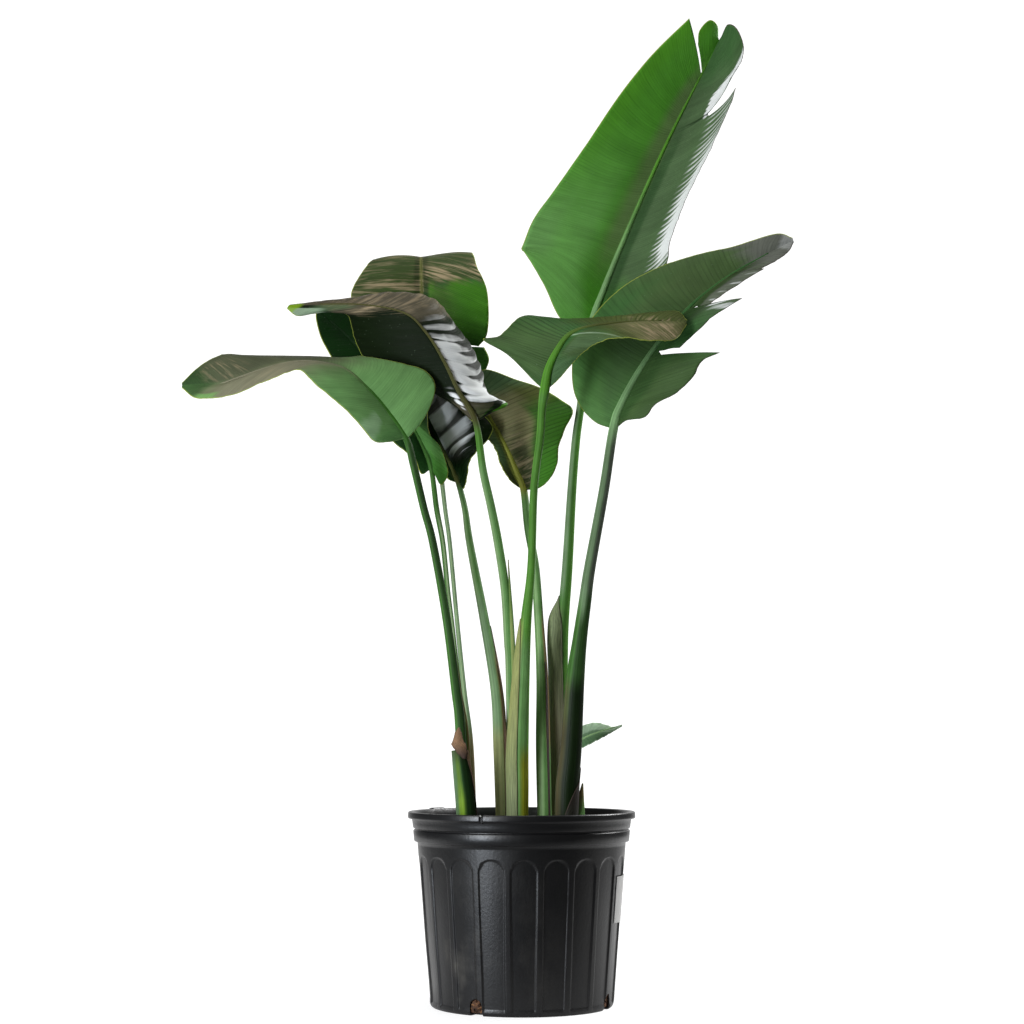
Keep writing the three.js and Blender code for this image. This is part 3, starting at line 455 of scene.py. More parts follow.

# How each stalk looks. A band is a patch of another colour: (bottom, top, from degrees, to
# degrees, colour, strength). Round the stalk, 0 degrees is its right, 90 its front. Many bands
# are painted light: pale bands on a stalk's left side and thin pale lines are painted highlights,
# and dark bands on its right side are painted shade, as marked below.
STALK_LOOKS = {
    "leaf_tall": ("stalk_mid", [
        # Painted light: the greyish band on the stalk's left side
        (640, 1060, 100, 220, "stalk_grey", 0.9), (430, 1000, -60, 60, "stalk_bright", 0.6),
        (250, 610, 100, 250, "sheath_olive", 0.8), (230, 390, 20, 200, "sheath_olive", 0.7)]),
    "leaf_right": ("stalk_deep", [
        # Painted light: the lighter bands on the stalk's left side
        (600, 950, 80, 220, "stalk_grey", 0.8), (440, 620, 110, 220, "stalk_mid", 0.7),
        (640, 900, 20, 80, "slate", 0.5), (240, 500, -80, 125, "leaf_black", 0.9),
        # Painted shade: the last band darkens the stalk's right side
        (240, 500, 125, 185, "purple", 0.6), (560, 900, -80, 20, "leaf_black", 0.5)]),
    "leaf_front": ("stalk_fresh", [
        (560, 940, -60, 200, "stalk_vivid", 0.8), (260, 590, 115, 250, "sheath_tan", 0.7),
        (300, 620, -60, 35, "stalk_vivid", 0.9), (240, 390, -60, 80, "sheath_gold", 0.85),
        # Painted highlight: the thin pale line on the right side, with painted shade in the dark band beside
        # it
        (620, 930, 8, 26, "leaf_pale", 0.6), (600, 930, -60, -5, "stalk_deep", 0.6)]),
    "leaf_middle": ("stalk_fresh", [
        # Painted light: the first band lightens the left side, where the stalk lies in shadow
        (240, 700, 90, 230, "stalk_pale", 0.4), (400, 600, -30, 60, "dry_pale", 0.8),
        (250, 760, 130, 230, "stalk_mid", 0.5)]),
    "leaf_arched": ("stalk_fresh", [
        # Painted highlights: the whitish band on the left side and the thin pale line on the right side
        (300, 840, -60, 50, "stalk_vivid", 0.6), (400, 840, 120, 160, "stalk_pale", 0.6),
        (850, 905, 0, 360, "stalk_vivid", 0.8), (640, 930, -5, 14, "leaf_pale", 0.9)]),
    "leaf_back": ("stalk_grey", [
        # Painted highlight: the narrow whitish stripe at the front; painted shade: the dark band on the
        # right side
        (240, 420, 0, 360, "dry_pale", 0.6), (400, 860, 80, 110, "stalk_pale", 0.9),
        (400, 860, -60, 30, "stalk_deep", 0.7)]),
    "leaf_low": ("stalk_mid", [
        # Painted highlight: the narrow whitish stripe at the front
        (240, 520, -60, 60, "dry_pale", 0.7), (440, 760, 60, 100, "stalk_pale", 0.9),
        (440, 800, 120, 220, "stalk_deep", 0.4)]),
    # Painted light: the lighter band on the stalk's left side
    "leaf_far_left": ("stalk_deep", [(240, 880, 110, 230, "stalk_mid", 0.8)]),
    "leaf_inner": ("stalk_fresh", [
        # Painted shade on the right side, a painted highlight on the left side, and at the foot painted
        # light that lifts the shadow there
        (240, 540, -30, 60, "dry_pale", 0.8), (500, 800, -60, 40, "stalk_deep", 0.5),
        (400, 800, 110, 165, "stalk_pale", 0.5), (240, 640, 60, 230, "stalk_grey", 0.8),
        (240, 420, 60, 230, "rib_edge", 0.65)]),
    "leaf_small": ("stalk_fresh", []),
}

# Pieces at the foot of the plant, as [x, y, z, half width] like the stalks
SHOOTS = {
    "cut_stub": {
        "path": [
            [-85, -46, ROOT_HEIGHT, 15], [-86, -46, 300, 15.5], [-91, -46, 350, 14.5],
            [-97, -46, 394, 12]],
        "color": "leaf_deep",
        "bands": [
            # Painted shade on the stub's right side and painted light on its left side
            (230, 410, -90, 90, "leaf_black", 0.7), (230, 410, 128, 200, "stalk_grey", 0.6),
            (230, 330, 98, 126, "lime", 1), (320, 385, 104, 122, "lime", 0.6),
            (388, 400, 0, 360, "dry_brown", 0.8)],
    },
    "spear": {
        "path": [
            [-8, 7, ROOT_HEIGHT, 4.5], [-10, 8, 393, 4.5], [-12, 11, 503, 4.2], [-15, 10, 585, 3.6],
            [-21, 8, 694, 0.8]],
        "color": "stalk_fresh",
        "bands": [
            (470, 672, 60, 140, "sheath_tan", 0.7), (600, 672, 0, 360, "stalk_mid", 0.5),
            (678, 700, 0, 360, "dry_pale", 0.9)],
    },
    "sprout": {
        "path": [[92, -4, ROOT_HEIGHT, 7], [92, -4, 290, 7], [93, 0, 318, 5], [96, 6, 341, 1.2]],
        "color": "stalk_fresh",
        "bands": [(314, 345, 0, 360, "dry_pale", 0.8)],
    },
}

# Old sheaths that wrap a stalk. A row is (height, from degrees, to degrees, lift at the
# first and at the last edge).
SHEATHS = [
    {
        "name": "leaf_tall_sheath", "stalk": "leaf_tall", "color": "sheath_olive", "foot": "sheath_brown",
        "rows": [
            (262, 50, 200, 0.6, 1.5), (330, 55, 195, 0.6, 2.5), (450, 65, 188, 0.8, 5),
            (520, 78, 184, 1, 8), (575, 92, 180, 1.2, 13), (598, 108, 178, 1.3, 14),
            (614, 130, 176, 1, 10), (628, 155, 172, 0.8, 4), (638, 168, 172, 0.5, 1)],
    },
    {
        "name": "leaf_inner_sheath", "stalk": "leaf_inner", "color": "dry_pale", "foot": "dry_brown",
        "rows": [
            (270, -5, 60, 1, 0.4), (330, -8, 52, 1.2, 0.4), (440, -10, 40, 1.2, 0.4),
            (520, -8, 24, 1, 0.4), (588, -4, 8, 0.6, 0.4)],
    },
    {
        "name": "leaf_middle_sheath", "stalk": "leaf_middle", "color": "dry_brown", "foot": "dry_brown",
        "rows": [
            (262, 34, 56, 0.5, 0.5), (330, 38, 58, 0.5, 0.8), (450, 40, 64, 0.5, 0.8),
            (531, 44, 56, 0.5, 0.5)],
    },
    {
        "name": "leaf_front_sheath", "stalk": "leaf_front", "color": "sheath_tan", "foot": "sheath_olive",
        "rows": [
            (262, 98, 192, 0.5, 5), (380, 100, 192, 0.5, 5.5), (500, 112, 190, 0.5, 5),
            (560, 128, 188, 0.4, 3.5), (596, 155, 186, 0.3, 1)],
    },
    {
        "name": "leaf_right_sheath", "stalk": "leaf_right", "color": "sheath_black", "foot": "leaf_black",
        "rows": [
            (262, -35, 120, 1.2, 1), (295, -32, 96, 1.2, 1), (325, -28, 60, 1, 0.8),
            (345, -24, 20, 0.9, 0.8), (358, -18, 0, 1, 0.8), (368, -12, -6, 1.2, 1)],
    },
    {
        "name": "cut_stub_strip", "stalk": "cut_stub", "color": "dry_pale", "foot": "purple",
        "rows": [
            (266, -25, 4, 1, 0.8), (310, -24, 8, 1, 0.8), (350, -22, 18, 1, 0.8),
            (376, -16, 40, 1.2, 1), (392, -6, 60, 1.6, 1.4)],
    },
]

# Colours and materials

NOISE_SPREAD = (0.3, 0.7)  # where most values of a noise lie
LEAF_IOR = 1.42
PLASTIC_IOR = 1.5


def srgb(red, green, blue):
    """A colour read from 0 to 255, as the linear colour that Blender works in."""
    linear = []
    for value in (red, green, blue):
        share = value / 255
        linear.append(share / 12.92 if share <= 0.04045 else ((share + 0.055) / 1.055) ** 2.4)
    return tuple(linear)


def color_of(palette, name):
    return tuple(getattr(palette, name))


class Graph:
    """A material's nodes. Each input is a plain value or another node's socket."""

    def __init__(self, name):
        self.material = bpy.data.materials.new(name)
        self.material.use_nodes = True
        self.nodes = self.material.node_tree.nodes
        self.links = self.material.node_tree.links
        self.nodes.clear()

    def node(self, kind, inputs, output=0, **settings):
        node = self.nodes.new("ShaderNode" + kind)
        for key, value in settings.items():
            setattr(node, key, value)
        for key, value in inputs.items():
            if isinstance(value, bpy.types.NodeSocket):
                self.links.new(value, node.inputs[key])
            else:
                node.inputs[key].default_value = value
        return node.outputs[output]

    def read(self, name, output="Fac"):
        return self.node("Attribute", {}, output, attribute_name=name)

    def place(self):
        return self.node("TexCoord", {}, "Object")

    def parts(self, vector, *axes):
        return [self.node("SeparateXYZ", {0: vector}, axis) for axis in axes]

    def math(self, operation, first, second=0.0):
        return self.node("Math", {0: first, 1: second}, operation=operation)

    def product(self, *values):
        total = values[0]
        for value in values[1:]:
            total = self.math("MULTIPLY", total, value)
        return total

    def total(self, *values):
        total = values[0]
        for value in values[1:]:
            total = self.math("ADD", total, value)
        return total

    def spread(self, value, low, high, new_low, new_high):
        """Maps a value from one range to another, and keeps it inside."""
        inputs = {0: value, 1: low, 2: high, 3: new_low, 4: new_high}
        return self.node("MapRange", inputs, clamp=True)

    def ramp(self, value, low, high):
        """0 below low and 1 above high, or the other way round where low is the larger."""
        return self.spread(value, low, high, 0, 1)

    def vary(self, noise, low, high):
        """Maps the usual spread of a noise to values from low to high."""
        return self.spread(noise, *NOISE_SPREAD, low, high)

    def mix(self, factor, first, second):
        inputs = {0: factor}
        for key, color in ((6, first), (7, second)):
            inputs[key] = (*color, 1) if isinstance(color, tuple) else color
        return self.node("Mix", inputs, 2, data_type="RGBA")

    def join(self, x, y):
        return self.node("CombineXYZ", {"X": x, "Y": y})

    def noise(self, vector, scale, detail=2.0, roughness=0.5):
        inputs = {"Vector": vector, "Scale": scale, "Detail": detail, "Roughness": roughness}
        return self.node("TexNoise", inputs)

    def drawn_out(self, first, first_scale, second, second_scale, detail=3, roughness=0.5):
        """Noise over two of a piece's own measures, each with a scale of its own."""
        vector = self.join(self.product(first, first_scale), self.product(second, second_scale))
        return self.noise(vector, 1, detail, roughness)

    def stretched(self, vector, scale, detail, roughness=0.5):
        """Noise with a scale for each axis."""
        return self.noise(self.node("Mapping", {"Vector": vector, "Scale": scale}), 1, detail, roughness)

    def shade(self, color, value):
        """Makes a colour lighter or darker by a factor."""
        return self.node("VectorMath", {0: color, "Scale": value}, operation="SCALE")

    def bump(self, height, distance):
        return self.node("Bump", {"Height": height, "Distance": distance, "Strength": 1.0})

    def finish(self, color, roughness, normal, **fixed):
        inputs = {"Base Color": color, "Roughness": roughness, "Normal": normal}
        inputs.update({key.replace("_", " "): value for key, value in fixed.items()})
        surface = self.node("BsdfPrincipled", inputs)
        output = self.nodes.new("ShaderNodeOutputMaterial")
        self.links.new(surface, output.inputs["Surface"])
        return self.material


VEIN_DRIFT = 0.3  # how far a side vein wanders, as a share of the veins' pitch
VEIN_EDGE = (0.18, 0.02)  # where a vein's line starts and is full, in the same shares
VEIN_SHADE = 0.52
VEIN_DENT = -0.6
SPECK_SCALE = 330
SPECK_LEVEL = (0.74, 0.8)
SPECK_STRENGTH = 0.14
MARGIN_REACH = (0.0017, 0.0007)  # metres from the edge where the margin starts and is full


def blade_material(palette, sizes):
    """A leaf blade: fine side veins, dry streaks, painted white highlights between cross folds, thin margin.
    """
    graph = Graph("Leaf blade")
    place = graph.place()
    across = graph.read("across")
    drift = graph.vary(graph.noise(place, 7), -VEIN_DRIFT, VEIN_DRIFT)
    vein = graph.total(graph.product(graph.read("vein"), 1 / sizes.vein_pitch), drift)
    wide = graph.product(vein, graph.read("vein_scale"))
    depth = graph.noise(graph.join(graph.product(graph.math("FLOOR", vein), 3.7), across), 1)
    line = graph.product(
        graph.ramp(graph.math("PINGPONG", vein, 0.5), *VEIN_EDGE),
        graph.ramp(depth, 0.3, 0.65),
        graph.read("veins"))
    fine = graph.drawn_out(wide, 2.3, across, 1.5)
    broad = graph.drawn_out(wide, 0.35, across, 1.3)
    patches = graph.noise(place, 14, 4)
    shade = graph.product(
        graph.vary(fine, 0.9, 1.1), graph.vary(broad, 0.89, 1.11), graph.vary(patches, 0.88, 1.12),
        graph.spread(line, 0, 1, 1, VEIN_SHADE))
    color = graph.shade(graph.read("tone", "Vector"), shade)
    dry = graph.drawn_out(wide, 0.8, across, 1.2, roughness=0.65)
    streak = graph.product(graph.read("streak"), graph.ramp(dry, 0.47, 0.62))
    color = graph.mix(streak, color, color_of(palette, "tan"))
    specks = graph.ramp(graph.noise(place, SPECK_SCALE, 1), *SPECK_LEVEL)
    color = graph.mix(graph.product(specks, SPECK_STRENGTH), color, color_of(palette, "leaf_pale"))
    # Painted highlight: white laid over the lower part of each cross fold
    color = graph.mix(painted_shine_share(graph, wide, across), color, color_of(palette, "gloss_white"))
    margin = graph.ramp(graph.read("edge"), *MARGIN_REACH)
    color = graph.mix(margin, color, graph.read("hem", "Vector"))
    roughness = graph.total(graph.read("gloss"), graph.vary(fine, -0.06, 0.08))
    height = graph.total(fine, broad, graph.product(line, VEIN_DENT))
    normal = graph.bump(height, sizes.vein_depth)
    return graph.finish(color, roughness, normal, IOR=LEAF_IOR, Specular_IOR_Level=0.09)


PAINTED_SHINE_RISE = 7.0  # how steeply the painted highlight starts at the foot of a fold
PAINTED_SHINE_FALL = (2.6, 1.0)  # how steeply it ends, near the midrib and near the margin
PAINTED_SHINE_UNEVEN = 0.22
PAINTED_SHINE_SHARE = 1.25  # how much a stronger painted shine widens it
PAINTED_SHINE_LEVEL = (0.9, 1.6)


def painted_shine_share(graph, vein, across):
    """Painted white highlight in the lower part of every cross fold, wider where the painted shine is
    stronger.
    """
    shine = graph.read("shine")
    phase = graph.math("FRACT", graph.read("cell"))
    rise = graph.product(phase, PAINTED_SHINE_RISE)
    steep = graph.spread(graph.math("ABSOLUTE", across), 0.3, 0.65, *PAINTED_SHINE_FALL)
    fall = graph.product(graph.math("SUBTRACT", 1.0, phase), steep)
    bright = graph.math("MINIMUM", graph.math("MINIMUM", rise, fall), 1.0)
    uneven = graph.vary(graph.drawn_out(vein, 0.6, across, 2), -PAINTED_SHINE_UNEVEN, PAINTED_SHINE_UNEVEN)
    level = graph.total(bright, uneven, graph.product(shine, PAINTED_SHINE_SHARE))
    return graph.product(graph.ramp(level, *PAINTED_SHINE_LEVEL), graph.ramp(shine, 0.02, 0.2))


def stalk_material():
    """A stalk: fine streaks along it and soft blotches."""
    graph = Graph("Stalk")
    tone = graph.read("tone", "Vector")
    run = graph.read("run")
    around = graph.read("around")
    streaks = graph.drawn_out(around, 1.4, run, 5, detail=4)
    stripes = graph.drawn_out(around, 0.4, run, 2.2, detail=2)
    blotches = graph.noise(graph.place(), 30, 3)
    shade = graph.product(
        graph.vary(streaks, 0.82, 1.18), graph.spread(stripes, 0.35, 0.65, 0.78, 1.22),
        graph.vary(blotches, 0.88, 1.12))
    roughness = graph.vary(streaks, 0.4, 0.52)
    normal = graph.bump(streaks, 0.0005)
    return graph.finish(graph.shade(tone, shade), roughness, normal, IOR=LEAF_IOR, Specular_IOR_Level=0.16)


def dry_material(palette):
    """Old dried leaf: brown fibres with lighter streaks."""
    graph = Graph("Dry leaf")
    tone = graph.read("tone", "Vector")
    fibres = graph.drawn_out(graph.read("across"), 9, graph.read("run"), 12, detail=4, roughness=0.6)
    color = graph.shade(tone, graph.vary(fibres, 0.5, 1.45))
    edge = graph.spread(graph.read("edge"), 0.0002, 0.0014, 0.8, 0)
    color = graph.mix(edge, color, color_of(palette, "dry_brown"))
    return graph.finish(color, 0.7, graph.bump(fibres, 0.0008))


def pot_material(palette):
    """Black moulded plastic with a satin skin, and with dust and scuffs, most at the lower left."""
    graph = Graph("Pot plastic")
    place = graph.place()
    cloud = graph.noise(place, 9, 5, 0.6)
    grain = graph.noise(place, 260, 3)
    rubs = graph.stretched(place, (60, 60, 6), 4, 0.7)
    dust = graph.product(graph.spread(cloud, 0.5, 0.78, 0, 1), graph.spread(rubs, 0.4, 0.75, 0.1, 0.6))
    x, z = graph.parts(place, "X", "Z")
    dusty = graph.product(graph.ramp(x, 0.06, -0.13), graph.ramp(z, 0.22, 0.03))
    dust = graph.product(dust, graph.spread(dusty, 0, 1, 0.1, 2.4))
    color = graph.mix(dust, color_of(palette, "pot_black"), color_of(palette, "pot_dust"))
    roughness = graph.total(graph.vary(cloud, 0.32, 0.4), graph.product(dust, 0.3))
    normal = graph.bump(graph.total(grain, graph.product(rubs, 1.5)), 0.0002)
    return graph.finish(color, roughness, normal, IOR=PLASTIC_IOR, Specular_IOR_Level=0.45)


def soil_material(palette):
    """Moist bark and peat: dark brown with reddish and tan fibres."""
    graph = Graph("Bark mix")
    place = graph.place()
    clumps = graph.noise(place, 60, 4, 0.6)
    fibres = graph.stretched(place, (220, 90, 300), 3)
    bark = graph.ramp(clumps, 0.35, 0.65)
    color = graph.mix(bark, color_of(palette, "soil_dark"), color_of(palette, "soil_brown"))
    color = graph.mix(graph.spread(fibres, 0.55, 0.75, 0, 0.7), color, color_of(palette, "soil_tan"))
    return graph.finish(color, 0.85, graph.bump(graph.total(clumps, fibres), 0.002))


def label_material(palette):
    """A blank sticker: smooth coated paper with a faint mottle."""
    graph = Graph("Sticker paper")
    mottle = graph.noise(graph.place(), 90, 3)
    color = graph.shade(color_of(palette, "label_white"), graph.vary(mottle, 0.93, 1))
    return graph.finish(color, 0.4, graph.bump(mottle, 0.0001))


def studio_material(color, glow):
    """Paper that glows under and behind the plant, and fades to the front."""
    graph = Graph("Studio paper")
    mottle = graph.noise(graph.place(), 40, 2)
    width, depth = graph.parts(graph.place(), "X", "Y")
    faded = graph.product(graph.vary(mottle, 0.99, 1), graph.spread(depth, -0.6, -0.2, 0.12, 1))
    shaded = graph.shade(color, faded)
    width = graph.math("SUBTRACT", graph.math("ABSOLUTE", width), graph.product(depth, 0.3))
    lit = graph.product(graph.ramp(depth, -0.3, 0.15), graph.ramp(width, 1.3, 0.85), glow)
    seen = graph.node("LightPath", {}, "Is Camera Ray")
    lit = graph.math("MAXIMUM", lit, graph.product(seen, graph.spread(depth, 0.1, 0.7, glow, 1)))
    normal = graph.bump(mottle, 0.0001)
    return graph.finish(shaded, 0.9, normal, Emission_Color=(1, 1, 1, 1), Emission_Strength=lit)


# Shape helpers

TINY = 1e-6
LOOK_AHEAD = 1e-4
WAVE_LENGTHS = 5
WAVE_HEIGHT = 2.3  # the heights of the waves together


def curve(points):
    """A smooth line through points, as a function of the share of its spans from 0 to 1."""
    given = np.asarray(points, float)
    padded = np.vstack([2 * given[0] - given[1], given, 2 * given[-1] - given[-2]])
    spans = len(given) - 1

    def at(share):
        place = np.clip(np.asarray(share, float), 0, 1) * spans
        first = np.minimum(place.astype(int), spans - 1)
        t = (place - first)[..., None]
        before, start, end, after = (padded[first + k] for k in range(4))
        return ((2 * t**3 - 3 * t**2 + 1) * start + (t**3 - 2 * t**2 + t) * (end - before) / 2
                + (3 * t**2 - 2 * t**3) * end + (t**3 - t**2) * (after - start) / 2)

    return at


def unit(vectors):
    return vectors / np.maximum(np.linalg.norm(vectors, axis=-1, keepdims=True), 1e-9)


def heading(line, share):
    return unit(line(np.minimum(share + LOOK_AHEAD, 1)) - line(np.maximum(share - LOOK_AHEAD, 0)))


def smooth_step(low, high, value):
    t = np.clip((value - low) / (high - low), 0, 1)
    return t * t * (3 - 2 * t)


def wander(values, seed):
    """A smooth made-up wave of several lengths, from -1 to 1."""
    rng = np.random.default_rng(seed)
    total = np.zeros_like(values, dtype=float)
    for octave in range(1, WAVE_LENGTHS + 1):
        turns = values * octave * rng.uniform(0.8, 1.2)
        total += np.sin(turns * 2 * np.pi + rng.uniform(0, 6.3)) / octave
    return total / WAVE_HEIGHT


def seed_of(name, side=0):
    return sum(ord(letter) for letter in name) + side


def build_mesh(name, positions, faces, attributes=None, smooth=True):
    """Makes an object of points in millimetres. attributes maps a name to one value a point."""
    positions = np.asarray(positions, float) * MM
    fans = [(face[0], face[k], face[k + 1]) for face in faces for k in range(1, len(face) - 1)]
    corners = positions[np.array(fans)]
    volume = np.einsum("ij,ij->i", corners[:, 0], np.cross(corners[:, 1], corners[:, 2])).sum()
    if volume < 0:
        faces = [face[::-1] for face in faces]
    mesh = bpy.data.meshes.new(name)
    mesh.from_pydata(positions.tolist(), [], faces)
    for key, values in (attributes or {}).items():
        values = np.asarray(values, np.float32)
        kind = "FLOAT_VECTOR" if values.ndim == 2 else "FLOAT"
        layer = mesh.attributes.new(key, kind, "POINT")
        layer.data.foreach_set("vector" if values.ndim == 2 else "value", values.ravel())
    mesh.polygons.foreach_set("use_smooth", [smooth] * len(mesh.polygons))
    mesh.update()
    piece = bpy.data.objects.new(name, mesh)
    bpy.context.scene.collection.objects.link(piece)
    return piece


def sheet_normals(grid):
    rising = grid[1:, 1:] - grid[:-1, :-1]
    falling = grid[:-1, 1:] - grid[1:, :-1]
    cells = np.cross(falling, rising)
    normals = np.zeros_like(grid)
    for rows in (slice(0, -1), slice(1, None)):
        for columns in (slice(0, -1), slice(1, None)):
            normals[rows, columns] += cells
    return unit(normals)


def sheet_faces(rows, columns, skipped):
    """The faces of a closed sheet: its front points come first, then its back points."""
    solid = np.ones((rows - 1, columns - 1), bool)
    if skipped is not None:
        solid &= ~skipped
    back = rows * columns
    faces = []

    def is_solid(r, c):
        return 0 <= r < rows - 1 and 0 <= c < columns - 1 and solid[r, c]

    for r in range(rows - 1):
        for c in range(columns - 1):
            if not solid[r, c]:
                continue
            a = r * columns + c
            b, d, e = a + 1, a + columns + 1, a + columns
            faces += [(a, b, d, e), (back + e, back + d, back + b, back + a)]
            for start, end, beside in ((a, b, (r - 1, c)), (b, d, (r, c + 1)),
                                       (d, e, (r + 1, c)), (e, a, (r, c - 1))):
                if not is_solid(*beside):
                    faces.append((end, start, back + start, back + end))
    return faces


def build_sheet(name, grid, half, skipped=None, attributes=None):
    """A closed thin sheet on a grid of points. attributes maps a name to (front, back) grids."""
    rows, columns = grid.shape[:2]
    normals = sheet_normals(grid)
    half = np.broadcast_to(np.asarray(half, float), (rows, columns))[..., None]
    positions = np.concatenate([(grid + side * normals * half).reshape(-1, 3) for side in (1, -1)])
    values = {}
    for key, (front, back) in (attributes or {}).items():
        last = front.shape[2:]
        values[key] = np.concatenate([front.reshape(-1, *last), back.reshape(-1, *last)])
    return build_mesh(name, positions, sheet_faces(rows, columns, skipped), values)


def build_loft(name, rings, attributes=None):
    """Joins rings of points into a closed solid with a middle point at each end."""
    count, sides = rings.shape[:2]
    positions = np.concatenate([rings.reshape(-1, 3), rings[[0, -1]].mean(1)])
    faces = []
    for r in range(count - 1):
        for s in range(sides):
            a = r * sides + s
            b = r * sides + (s + 1) % sides
            faces.append((a, b, b + sides, a + sides))
    first, last = count * sides, count * sides + 1
    top = (count - 1) * sides
    for s in range(sides):
        faces.append((first, (s + 1) % sides, s))
        faces.append((last, top + s, top + (s + 1) % sides))
    values = {}
    for key, grid in (attributes or {}).items():
        values[key] = np.concatenate([grid.reshape(count * sides, *grid.shape[2:]), grid[[0, -1], 0]])
    return build_mesh(name, positions, faces, values)


# Blades

RIPPLES = 5
RIPPLE_HEIGHT = 0.02
RIB_SAMPLES = 50
BASE_FAN = 0.88
ROW_BUNCHING = 0.1  # how much closer the rows stand near both ends
TEAR_CLEARANCE = 0.4  # the share of a row's step that stays free beside a tear
TEAR_REACH = 0.07
VEIN_LEAN = 1.5
VEIN_CURVE = 1.3
FOLD_START = (0.02, 0.3)  # where the cross folds start and are full, as shares of a half
FOLD_FOOT = 0.12
FOLD_TIP = 0.85
FRAY = 1.6
FRAY_WAVES = 9
FRAY_START = 0.75
MIDRIB_HALF = 0.5  # shares of the thickness: its half at the midrib, and what that loses outwards
MARGIN_LOSS = 0.2
PLAIN_HEM = ("margin", "margin")
FADE_SHARE = 0.5  # a zone's border fades over this share of its width, inside the two limits
FADE_LIMITS = (0.01, 0.22)
BORDER_WANDER = 0.02
BORDER_SHARE = 0.1


def rib_share(t):
    """Near the base the rows fan out round the lobes, so the midrib's share lags behind."""
    return t * (1 - BASE_FAN * (1 - t) ** 4)


def row_shares(leaf, count):
    """The shares of length of a blade's rows, with one on each side of every tear."""
    steps = np.linspace(0, 1, count + 1)
    steps = steps - ROW_BUNCHING * np.sin(2 * np.pi * steps)
    tears = [t for lobe in leaf["left"] + leaf["right"] for t in (lobe["from"], lobe["to"]) if 0 < t < 1]
    fixed = np.array(tears + leaf.get("corners", []))
    if len(fixed):
        steps = steps[np.abs(steps[:, None] - fixed).min(1) > TEAR_CLEARANCE / count]
    return np.unique(np.concatenate([steps, fixed]))


def margin_points(lobes, rows):
    """The margin's point in each row. Rows inside a tear lie between the lobes beside it."""
    points = np.zeros((len(rows), 3))
    for lobe in lobes:
        inside = (rows >= lobe["from"] - TINY) & (rows <= lobe["to"] + TINY)
        share = (rows[inside] - lobe["from"]) / (lobe["to"] - lobe["from"])
        points[inside] = curve(lobe["points"])(share)
    gaps = (points == 0).all(1)
    if gaps.any():
        whole = np.flatnonzero(~gaps)
        for axis in range(3):
            points[gaps, axis] = np.interp(rows[gaps], rows[whole], points[whole, axis])
    return points


def torn_cells(leaf, rows, shares):
    """Which cells of a blade are missing, from its tears."""
    columns = 2 * (len(shares) - 1)
    middle = columns // 2
    torn = np.zeros((len(rows) - 1, columns), bool)
    for side, lobes in ((-1, leaf["left"]), (1, leaf["right"])):
        for lobe, after in zip(lobes, lobes[1:]):
            between = (rows[:-1] >= lobe["to"] - TINY) & (rows[1:] <= after["from"] + TINY)
            outer = shares[1:] > lobe["tear"] + TINY
            cells = slice(middle, None) if side > 0 else slice(middle - 1, None, -1)
            torn[np.ix_(between, np.arange(columns)[cells])] |= outer
    return torn


def blade_grid(leaf, look, rows, shares):
    """The blade's points, from the left margin over the midrib to the right margin, and for
    each point its share across, its vein's place and its distance from the margin."""
    rib_line = curve(leaf["rib"])
    rib_places = rib_share(rows)
    rib = rib_line(rib_places)
    along = heading(rib_line, rib_places)
    length = np.linalg.norm(np.diff(rib_line(np.linspace(0, 1, RIB_SAMPLES)), axis=0), axis=1).sum()
    pitch, fold_left, fold_right = look["folds"]
    halves = []
    for side, lobes in ((-1, leaf["left"]), (1, leaf["right"])):
        margin = margin_points(lobes, rows)
        across = margin - rib
        width = np.linalg.norm(across, axis=1)[:, None]
        normal = unit(np.cross(across, along)) * side
        s = shares[None, :]
        t = rows[:, None]
        sag = look.get("sag", 0) * (side > 0)
        lean = VEIN_LEAN * look["lean"][max(side, 0)] * (1 - t)
        vein = (t - lean * s**VEIN_CURVE + sag * 4 * s * (1 - s)) * length
        bow = leaf["bow"][max(side, 0)] * 4 * s * (1 - s)
        ripple = leaf.get("wave", RIPPLE_HEIGHT) * np.sin(t * RIPPLES * np.pi + side) * s**2
        fold_height = fold_right if side > 0 else fold_left
        fold = fold_height * (np.abs(np.sin(np.pi * vein / pitch)) - 0.5) * smooth_step(*FOLD_START, s)
        fold *= smooth_step(0, FOLD_FOOT, t) * smooth_step(1, FOLD_TIP, t)
        fray = FRAY * wander(t * FRAY_WAVES, seed_of(leaf["name"], side))
        fray = fray * smooth_step(FRAY_START, 1, s) * np.sin(np.pi * t)
        lift = (bow + ripple) * width + fold + fray
        points = rib[:, None] + across[:, None] * s[..., None] + normal[:, None] * lift[..., None]
        points += closed_tears(lobes, rows, shares, margin)
        halves.append((points, side * s + 0 * t, vein, (1 - s) * width))
    left, right = halves
    return [np.concatenate([one[:, :0:-1], other], axis=1) for one, other in zip(left, right)]


def closed_tears(lobes, rows, shares, margin):
    """Moves the rows beside a tear together, so that the tear starts from a point."""
    moved = np.zeros((len(rows), len(shares), 3))
    for lobe, after in zip(lobes, lobes[1:]):
        start = np.abs(rows - lobe["to"]).argmin()
        end = np.abs(rows - after["from"]).argmin()
        half_gap = (margin[end] - margin[start]) / 2
        tear = lobe["tear"]
        closing = np.where(shares < tear, shares, tear * (1 - shares) / (1 - tear))
        before = smooth_step(rows[start] - TEAR_REACH, rows[start], rows) * (rows <= rows[start])
        behind = smooth_step(rows[end] + TEAR_REACH, rows[end], rows) * (rows >= rows[end])
        moved += (before - behind)[:, None, None] * closing[None, :, None] * half_gap
    return moved


def slanted(border, share):
    """A zone's border: one value, or the values at the midrib and at the margin."""
    if isinstance(border, tuple):
        return border[0] + (border[1] - border[0]) * share
    return border


